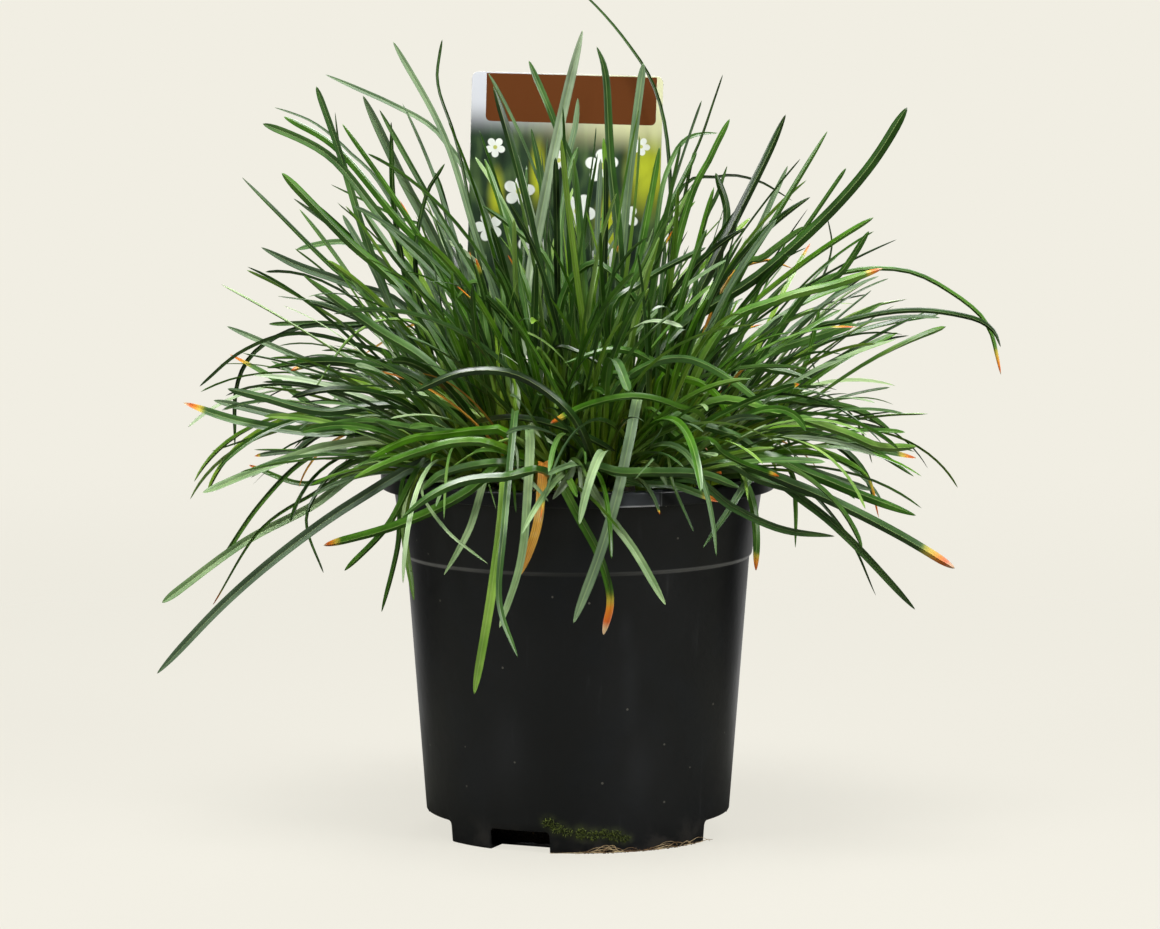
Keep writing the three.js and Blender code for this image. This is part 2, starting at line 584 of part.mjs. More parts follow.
function cellOf(ball, across = 0, deep = 0, up = 0) {
  const [x, y, z] = ball.toArray().map((v) => Math.floor(v / CELL));
  return `${x + across},${y + deep},${z + up}`;
}

function occupy(balls, number) {
  const around = [-1, 0, 1];
  for (const ball of balls) {
    ball.number = number;
    for (const across of around) {
      for (const deep of around) {
        for (const up of around) {
          const cell = cellOf(ball, across, deep, up);
          if (!taken.has(cell)) taken.set(cell, []);
          taken.get(cell).push(ball);
        }
      }
    }
  }
}

// Blades of one tuft may touch each other only this near to their crown.
const DRAWN_START = 44;
const GROWN_START = 16;

function isFree(balls, number, start) {
  for (const ball of balls) {
    for (const other of taken.get(cellOf(ball)) ?? []) {
      if (other.number === number && (ball.along < start || other.along < start)) continue;
      if (ball.distanceTo(other) < ball.size + other.size + CLEARANCE) return false;
    }
    if (meetsPot(ball) || meetsLabel(ball)) return false;
  }
  return true;
}

// The pot's rim and wall, and the soil further along the blade than its crown.
function meetsPot(ball) {
  const radius = Math.hypot(ball.x, ball.y);
  const margin = 1 + ball.size;
  if (radius < SOIL_RADIUS - margin) {
    return ball.along > CROWN_HEIGHT / 2 && ball.z < soilTop(ball.x, ball.y) + margin;
  }
  return radius < RIM_RADIUS + margin && ball.z < RIM_TOP + margin;
}

// The card and its stake, which lean by the card's tilt.
function meetsLabel(ball) {
  const margin = CARD_THICKNESS + ball.size;
  if (Math.abs(ball.y - CARD_Y) > margin || ball.z > CARD_TOP + margin) return false;
  const beside = Math.abs(ball.x - CARD_X + (CARD_TOP - ball.z) * Math.sin(CARD_TILT));
  const width = ball.z > CARD_TOP - CARD_HEIGHT - margin ? CARD_WIDTH : STAKE_WIDTH;
  return beside < width / 2 + margin;
}

// A blade's closed solid: two edges and a keel along the spine, turning by its twist. A hand-drawn blade also
// turns its flat side more and more to the eye.
function bladeSolid({ spine, width, twist, facing }) {
  const stations = stationsOf(spine);
  const level = spine[STEPS].clone().sub(spine[0]).setZ(0);
  const side = new THREE.Vector3(level.y, -level.x, 0).normalize();
  const sections = [];
  for (let i = 0; i <= STEPS; i++) {
    const ahead = spine[Math.min(i + 1, STEPS)].clone().sub(spine[Math.max(i - 1, 0)]).normalize();
    const across = EYE.clone().sub(spine[i]).normalize().cross(ahead);
    side.addScaledVector(across, facing * Math.sign(side.dot(across)));
    side.addScaledVector(ahead, -side.dot(ahead)).normalize();
    if (!stations.includes(i)) continue;
    const s = i / STEPS;
    const edge = side.clone().applyAxisAngle(ahead, twist[0] + (twist[1] - twist[0]) * s);
    const above = new THREE.Vector3().crossVectors(edge, ahead);
    const half = widthAt(width, s) / 2;
    sections.push(
      i === STEPS
        ? [spine[i]]
        : [
            spine[i].clone().addScaledVector(edge, half),
            spine[i].clone().addScaledVector(above, -keelAt(width, s)),
            spine[i].clone().addScaledVector(edge, -half),
          ],
    );
  }
  return loft(sections, 2);
}

// Plant a hand-drawn blade in the nearest tuft with room for it, slid nearer to the eye or farther from it
// until it is clear of the others.
function plantDrawn([x, y, width, ...points], tufts) {
  const near = (a, b) => Math.hypot(a.x - x, a.y - y) - Math.hypot(b.x - x, b.y - y);
  for (const tuft of [...tufts].sort(near).slice(0, NEAREST)) {
    const up = LOWEST_ROOT + ROOT_STEP * (tuft.blades.length % 4);
    const root = new THREE.Vector3(tuft.x, tuft.y, tuft.ground + up);
    for (let slide = 0; slide < SLIDES; slide++) {
      const shift = Math.ceil(slide / 2) * (slide % 2 ? SLIDE : -SLIDE);
      const moved = points.map(([px, pz, py]) => seen([px, pz, py + shift]));
      const spine = drawnSpine([root, ...moved]);
      const room = roomOf(spine, width);
      if (!isFree(room, tuft.number, DRAWN_START)) continue;
      occupy(room, tuft.number);
      const next = draws(DRAWN_SEED + tuft.number * TRIES + tuft.blades.length);
      tuft.blades.push({ spine, width, twist: twistOf(next, DRAWN_TWIST), facing: FACING });
      return;
    }
  }
}

// How far a blade is turned about its spine at its root and at its tip.
function twistOf(next, most) {
  return most.map((range) => (next() - 0.5) * range);
}

// One try at a blade of its own making for a tuft.
function grownBlade(tuft, seed) {
  const next = draws(seed);
  const out = Math.hypot(tuft.x, tuft.y) / CLUMP_RADIUS;
  const spread = 2 * Math.PI * mix(1, OUTER_SPREAD, out);
  const heading = Math.atan2(tuft.y, tuft.x) + (next() - 0.5) * spread;
  const kind = next();
  let habit = kind < UPRIGHT.share ? UPRIGHT : ARCHING;
  if (kind > 1 - DROOPING.share && out > DROOPING_FROM) habit = DROOPING;
  const lean = degrees(mix(...habit.lean, next()) + habit.outward * out * next());
  const droop = degrees(mix(...habit.droop, next()));
  const length = mix(...habit.length, next()) * (tuft.dry ? DRY_LENGTH : 1);
  const sway = (next() - 0.5) * SWAY;
  const width = mix(...(tuft.dry ? DRY_WIDTHS : GREEN_WIDTHS), next());
  const twist = twistOf(next, GROWN_TWIST);
  const root = new THREE.Vector3(Math.cos(heading), Math.sin(heading), 0).multiplyScalar(CROWN_RADIUS / 3);
  root.add(tuft);
  root.z = tuft.ground + LOWEST_ROOT + ROOT_STEP * 2 * next();
  return { spine: grownSpine(root, { heading, lean, droop, sway, length }), width, twist, facing: 0 };
}

function staysInReach(spine) {
  return spine.every((point) => point.distanceTo(REACH_CENTRE) < REACH && point.z > REACH_DOWN);
}

// One more blade for each tuft in turn, until each has its number or finds no more room.
function plantGrown(tufts) {
  for (let round = 0; round < BLADES_PER_TUFT; round++) {
    for (const tuft of tufts) {
      if (tuft.blades.length >= (tuft.dry ? DRY_PER_TUFT : BLADES_PER_TUFT)) continue;
      for (let attempt = 1; attempt <= TRIES; attempt++) {
        const seed = (tuft.number * BLADES_PER_TUFT + round) * TRIES + attempt;
        const blade = grownBlade(tuft, seed);
        if (!staysInReach(blade.spine)) continue;
        const room = roomOf(blade.spine, blade.width);
        if (!isFree(room, tuft.number, GROWN_START)) continue;
        occupy(room, tuft.number);
        tuft.blades.push(blade);
        break;
      }
    }
  }
}

// The crowns take their room first, so that no other tuft's blades cross them.
function plantCrowns(tufts) {
  for (const tuft of tufts) {
    const balls = [0, 0.25, 0.5, 0.75, 1].map((share) => {
      const up = CROWN_HEIGHT * share;
      const ball = tuft.clone().multiplyScalar(1 + up * CROWN_LEAN);
      ball.z = tuft.ground + up;
      ball.size = CROWN_RADIUS * mix(1, 0.6, share);
      ball.along = 0;
      return ball;
    });
    occupy(balls, tuft.number);
  }
}

// A crown and its blades as one body. What their crossings seal off inside is filled.
function tuftGeometry(tuft) {
  let body = solidOf(crown(tuft));
  for (const blade of tuft.blades) body = body.add(solidOf(bladeSolid(blade)));
  const [whole] = body.decompose().sort((a, b) => b.volume() - a.volume());
  return geometryOf(whole);
}

// The whole plant

const POT_BLACK = new THREE.MeshStandardMaterial({ color: 0x101112, roughness: 0.42, metalness: 0 });
const SOIL_BROWN = new THREE.MeshStandardMaterial({ color: 0x2a1f17, roughness: 0.95, metalness: 0 });
const CARD_PRINT = new THREE.MeshStandardMaterial({ color: 0x6b3a1f, roughness: 0.45, metalness: 0 });
const LEAF_GREEN = new THREE.MeshStandardMaterial({ color: 0x4a6b35, roughness: 0.5, metalness: 0 });
const LEAF_DRY = new THREE.MeshStandardMaterial({ color: 0xb98a3c, roughness: 0.7, metalness: 0 });

const plant = new THREE.Group();

function addPiece(name, geometry, material) {
  const mesh = new THREE.Mesh(geometry, material);
  mesh.name = name;
  plant.add(mesh);
}

const tufts = tuftPlaces();
plantCrowns(tufts);
const green = tufts.filter((tuft) => !tuft.dry);
const dry = tufts.filter((tuft) => tuft.dry);
for (const row of DRAWN_DRY) plantDrawn(row, dry);
for (const row of DRAWN) plantDrawn(row, green);
plantGrown(tufts);

addPiece("pot", pot(), POT_BLACK);
addPiece("soil", soil(tufts), SOIL_BROWN);
addPiece("plant_label", labelShape(0), CARD_PRINT);
green.forEach((tuft, i) => {
  const number = String(i + 1).padStart(2, "0");
  addPiece(`tuft_${number}`, tuftGeometry(tuft), LEAF_GREEN);
});
dry.forEach((tuft, i) => addPiece(`dry_tuft_${i + 1}`, tuftGeometry(tuft), LEAF_DRY));

export default plant;
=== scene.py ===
# Potted blue moor grass: a black nursery pot of soil, a dense clump of arching blades and a plain label.
# Sizes are in millimetres, +Z up, the front towards -Y. MM puts a mesh into metres as it is made.

import math

import bmesh
import bpy
import numpy as np
from mathutils import Matrix, Vector, noise


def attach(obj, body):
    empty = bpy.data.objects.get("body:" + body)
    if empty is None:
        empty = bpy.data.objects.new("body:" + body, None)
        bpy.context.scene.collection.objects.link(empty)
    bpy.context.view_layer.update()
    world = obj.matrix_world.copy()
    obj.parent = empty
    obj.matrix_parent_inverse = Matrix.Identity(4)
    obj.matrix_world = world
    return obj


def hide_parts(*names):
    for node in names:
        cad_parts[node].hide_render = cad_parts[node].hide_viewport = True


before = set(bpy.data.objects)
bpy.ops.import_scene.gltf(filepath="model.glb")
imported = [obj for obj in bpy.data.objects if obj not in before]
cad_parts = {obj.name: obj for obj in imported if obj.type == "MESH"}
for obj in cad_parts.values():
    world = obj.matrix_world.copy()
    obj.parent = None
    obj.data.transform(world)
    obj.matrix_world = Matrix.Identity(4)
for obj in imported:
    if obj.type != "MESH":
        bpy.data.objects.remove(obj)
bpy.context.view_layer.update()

MM = 0.001

# Pot: a thin container with a turned-down rim, a ledge and drain holes at its foot
POT_SIDES = 160
RIM_TOP = 155.3
RIM_RADIUS = 85
RIM_UNDER = 149
RIM_THICK = 1.6
RIM_ROUND = 0.9
LIP = 1.4
NECK_RADIUS = 79.5
LEDGE_TOP = 120.5
LEDGE_UNDER = 119.3
LEDGE_RADIUS = 75.2
BODY_RADIUS = 74.1
FOOT_RADIUS = 65
FOOT_ROUND = 0.8
WALL = 1.4
FOOT_RING_INNER = 49
FLOOR_RISE = 3
FLOOR = WALL + FLOOR_RISE
DRAIN_AZIMUTHS = [-67.5, -22.5, 67.5, 112.5, 157.5, -112.5]
SIDE_NOTCHES = [-90, 90]
DRAIN_WIDTH = 27
DRAIN_HEIGHT = 9.1
DRAIN_INNER = 51.5
DRAIN_ROUND = 2.2
EDGE_ROUND = 0.3

# Soil: a plug that fills the pot to a little under its rim
GAP = 0.35
SOIL_RIM_HEIGHT = 141
SOIL_DOME = 10
SOIL_RADIUS = 75.9
LUMPS = 1.1
SMALL_LUMPS = 0.7

# Label: an upright card on a tapering stake, behind the middle of the clump
CARD_WIDTH = 84
CARD_HEIGHT = 120
CARD_THICKNESS = 0.8
CARD_CORNER = 3
CARD_X = -4.4
CARD_Y = 50
CARD_TOP = 325
CARD_TILT = math.radians(1.6)
STAKE_WIDTH = 22
STAKE_NECK = 14
STAKE_END = 7
STAKE_LENGTH = 112
STAKE_POINT = 8
STAKE_X = CARD_X - (CARD_TOP - SOIL_RIM_HEIGHT) * math.sin(CARD_TILT)
STAKE_CLEAR = 13
CARD_ROUND = 0.15
BAND_LEFT = 6.5
BAND_RIGHT = 2.9
BAND_DROP = 0.6
BAND_HEIGHT = 21

# Tufts: short crowns that stand in the soil in a spiral, each with a bunch of blades
TUFTS = 36
DRY_TUFTS = [13, 22, 24, 28]
CLUMP_RADIUS = 58
GOLDEN_ANGLE = math.radians(137.50776)
CROWN_RADIUS = 5
CROWN_DEPTH = 12
CROWN_HEIGHT = 16
CROWN_LEAN = 1 / 320
SHEATHS = 6
SHEATH_WIDTH = 5.5

# Blades: long, parallel-sided and pointed, folded to a keel underneath
STEPS = 24
FINE_STEPS = 12
BASE_WIDTH = 0.58
TIP_START = 0.7
KEEL = 1.15
KEEL_SHARE = 0.3
THINNEST = 0.7
FEWEST_FACES = 4
MOST_FACES = 7
BEND_PER_FACE = 0.75
BALL_STEP = 3
CLEARANCE = 0.35
BLADES_PER_TUFT = 10
DRY_PER_TUFT = 5
DRY_LENGTH = 0.62
GREEN_WIDTHS = [3.1, 4.7]
DRY_WIDTHS = [1.8, 3.2]
DRAWN_TWIST = [0.6, 1.4]
GROWN_TWIST = [1.6, 3.2]
FACING = 0.5
SWAY = 50
TRIES = 60
NEAREST = 6
SLIDE = 2
SLIDES = [SLIDE * step for k in range(12) for step in (-k, k + 1)]
FINE_SLIDES = [-SLIDE * k for k in range(26)] + [SLIDE * k for k in range(1, 16)]
LOWEST_ROOT = 3
ROOT_STEP = 2.5
DRAWN_SEED = 70000
DRAWN_START = 44
GROWN_START = 16
CELL = 9

# Fine blades that fill the clump between the larger ones: some lie over the rim at the front, some stand
# before the label, the others cross or tangle. Each kind has its rounds over the tufts that grow it, how far
# sideways and how far back those may be, and its heading, lean, droop and sway in degrees.
FILL_TRIES = 26
FILL_START = 70
FILL_CLEARANCE = 0.1
LYING = {"rounds": 9, "seed": 310000, "beside": 90, "back": -14, "heading": [-176, -4], "lean": [48, 76],
         "droop": [14, 62], "length": [70, 150], "sway": 80, "width": [2.8, 4.7]}
CROSSING = {"rounds": 6, "seed": 350000, "beside": 70, "back": 12, "heading": [-200, 20], "lean": [10, 48],
            "droop": [24, 96], "length": [80, 150], "sway": 150, "width": [2.2, 4.6]}
STANDING = {"rounds": 5, "seed": 90000, "beside": 42, "back": 90, "heading": [0, 360], "lean": [0, 18],
            "droop": [0, 34], "length": [80, 145], "sway": 60, "width": [2.4, 4.4]}
TANGLED = {"rounds": 14, "seed": 190000, "beside": 90, "back": 90, "heading": [0, 360], "lean": [6, 64],
           "droop": [0, 80], "length": [60, 125], "sway": 120, "width": [1.5, 4.2]}

# Where no fine blade may come nearer to the eye than a depth. Each place is (left, right, low, high, depth),
# seen from the front. They keep the broad pale blade and the card's sides in view.
CLEAR_VIEWS = [(-24, 5, 232, 350, -22), (-60, -30, 262, 330, 40), (22, 42, 268, 330, 40)]

# How far the blades that grow by rule may reach: a ball round a point above the pot, and no lower than this
REACH = 174
REACH_CENTRE = (0, 0, 160)
REACH_DOWN = 62

# The ways a blade grows: the share of blades that do, the lean at its root and the droop added towards its
# tip, in degrees, how much more an outer tuft's blade leans, and its length
UPRIGHT = {"share": 0.45, "lean": [4, 32], "outward": 24, "droop": [8, 50], "length": [95, 195]}
ARCHING = {"share": 0.37, "lean": [30, 58], "outward": 8, "droop": [18, 66], "length": [105, 190]}
DROOPING = {"share": 0.18, "lean": [44, 62], "outward": 0, "droop": [75, 115], "length": [100, 175]}
DROOPING_FROM = 0.45
OUTER_SPREAD = 0.38

# The eye that the drawn blades are seen from, and the camera's view from there
EYE = (0.9, -2100, 384)
LOOKS_AT = (0.9, 0, 158.2)
LENS = 151.9
SENSOR = 36

# How finely a blade is made, and its section: rounded halves, thin beside their width
DRAWN_SPANS = 32
GROWN_SPANS = 20
FINE_SPANS = 14
TIP_CROWDING = 1.5
TIP_LENGTHS = [1.8, 6.5]
TIP_BLUNTNESS = 0.62
THREAD_WIDTH = 2.7
THREAD_TAPER = 0.6
TAPERS = [0.05, 0.3]
SLIM_BEHIND = 0.76
SLIM_IN_FRONT = 0.96
FULL_WIDTHS = [3.4, 4.8]
WISP_SLIMNESS = 0.42
SLIM_GROWN = [0.6, 0.88]
SECTION_POINTS = 8
SECTION_THICKNESS = 0.13
NARROWEST = 0.02
FOLD_AT_ROOT = 0.42
FOLD_AT_TIP = 0.2

# Soil's finer surface
SOIL_SIDES = 120
SOIL_RINGS = 34
CRUMB_HEIGHT = 1.6

# Looks: tone from deep to bright green, waxy bloom, and the share of the blade that has ripened
LOOKS = {
    "deep": (0.12, 0.12, 0.0),
    "green": (0.42, 0.3, 0.0),
    "bright": (0.85, 0.1, 0.0),
    "olive": (0.55, 0.15, 0.05),
    "waxy": (0.5, 0.85, 0.0),
    "pale_waxy": (0.85, 1.0, 0.0),
    "pale": (0.8, 0.6, 0.0),
    "blue": (0.3, 1.0, 0.0),
    "yellow_tip": (0.5, 0.2, 0.05),
    "orange_tip": (0.45, 0.3, 0.08),
    "olive_tip": (0.7, 0.3, 0.05),
    "ripe": (0.65, 0.1, 0.16),
    "ripe_tip": (0.2, 0.2, 0.1),
    "wisp": (0.1, 0.1, 0.0),
    "vivid": (0.62, 0.0, 0.0),
    "lime": (1.0, 0.0, 0.0),
    "dry": (0.6, 0.15, 0.0),
}
LOOK_SEED = 110000
SHEATH_SEED = 150000
UNRIPE = 0.94
WAXY_SHARE = 0.5
WAXY = [0.5, 1.0]
GLOSSY = [0.0, 0.3]

# Label's picture: blossoms as (across, down, radius, turn) and soft lights as (across, down, half width, half
# height), in millimetres from the card's top middle
BAND_CORNER = 2.2
BLOSSOMS = [
    (-31, 33, 4.5, 0.3), (-20, 52, 7, 1.1), (-3, 38, 5, 0.7), (6, 60, 8, 0.2), (16, 40, 7.5, 0.9),
    (27, 62, 6, 0.5), (33, 31, 4, 0.1), (-33, 68, 6.5, 0.6), (-12, 74, 8, 0.4), (19, 80, 7, 0.8),
]
GLOWS = [(36, 42, 13, 26), (-12, 44, 5, 20), (20, 66, 9, 18), (-30, 54, 5, 16)]

# Moss on the pot's foot: cushions as (across, height, half width, half height) on its front
MOSS = [(-12.5, 13.5, 2.6, 2.2), (-8.5, 11, 3, 2.2), (-4.5, 9.5, 2.4, 1.8), (1.5, 9, 2.6, 2.6),
        (6.5, 8.2, 2.8, 2.2), (11, 8.8, 2.4, 2), (15.5, 7.6, 3, 2.4), (20, 6, 2.4, 1.8)]
MOSS_DENSITY = 3.6e6
MOSS_LEAFLET = [0.45, 1.0]
MOSS_SEED = 5

# Roots and earth squeezed out from under the foot: how far round from the front, in degrees, and how many
FOOT_EARTH = [2, 50]
ROOTS = 34
ROOT_SEED = 230000
ROOT_STEPS = 12
ROOT_LENGTHS = [6, 15]
ROOT_WIDTHS = [0.2, 0.42]
FOOT_CRUMB_DENSITY = 2.4e6
FOOT_CRUMBS = [0.35, 1.0]
TOP_CRUMB_DENSITY = 6.5e4
TOP_CRUMBS = [0.7, 2.4]
CRUMB_SEED = 8

# Painted highlight on a stretch of the pot's rim, and the mould's seam beside it, across the front
RIM_HIGHLIGHT = [18.5, 34.5]
SEAM = 34.8

# Painted reflections: pale soft patches on the pot's front, as (across, height, half width, half height)
PAINTED_REFLECTIONS = [(22, 72, 6, 28), (26, 34, 9, 22), (-30, 44, 12, 26), (20, 96, 5, 12)]

# Floor and backdrop
PAPER = (241, 238, 227)
FLOOR_SIZE = 4000
FLOOR_SOLID = 500
FLOOR_FADED = 1500
FLOOR_GLOW = 0.905
FLOOR_GLOW_SHARE = 0.9
FLOOR_AS_LIGHT = (104, 104, 96)
FLOOR_OPEN = [50, 300]
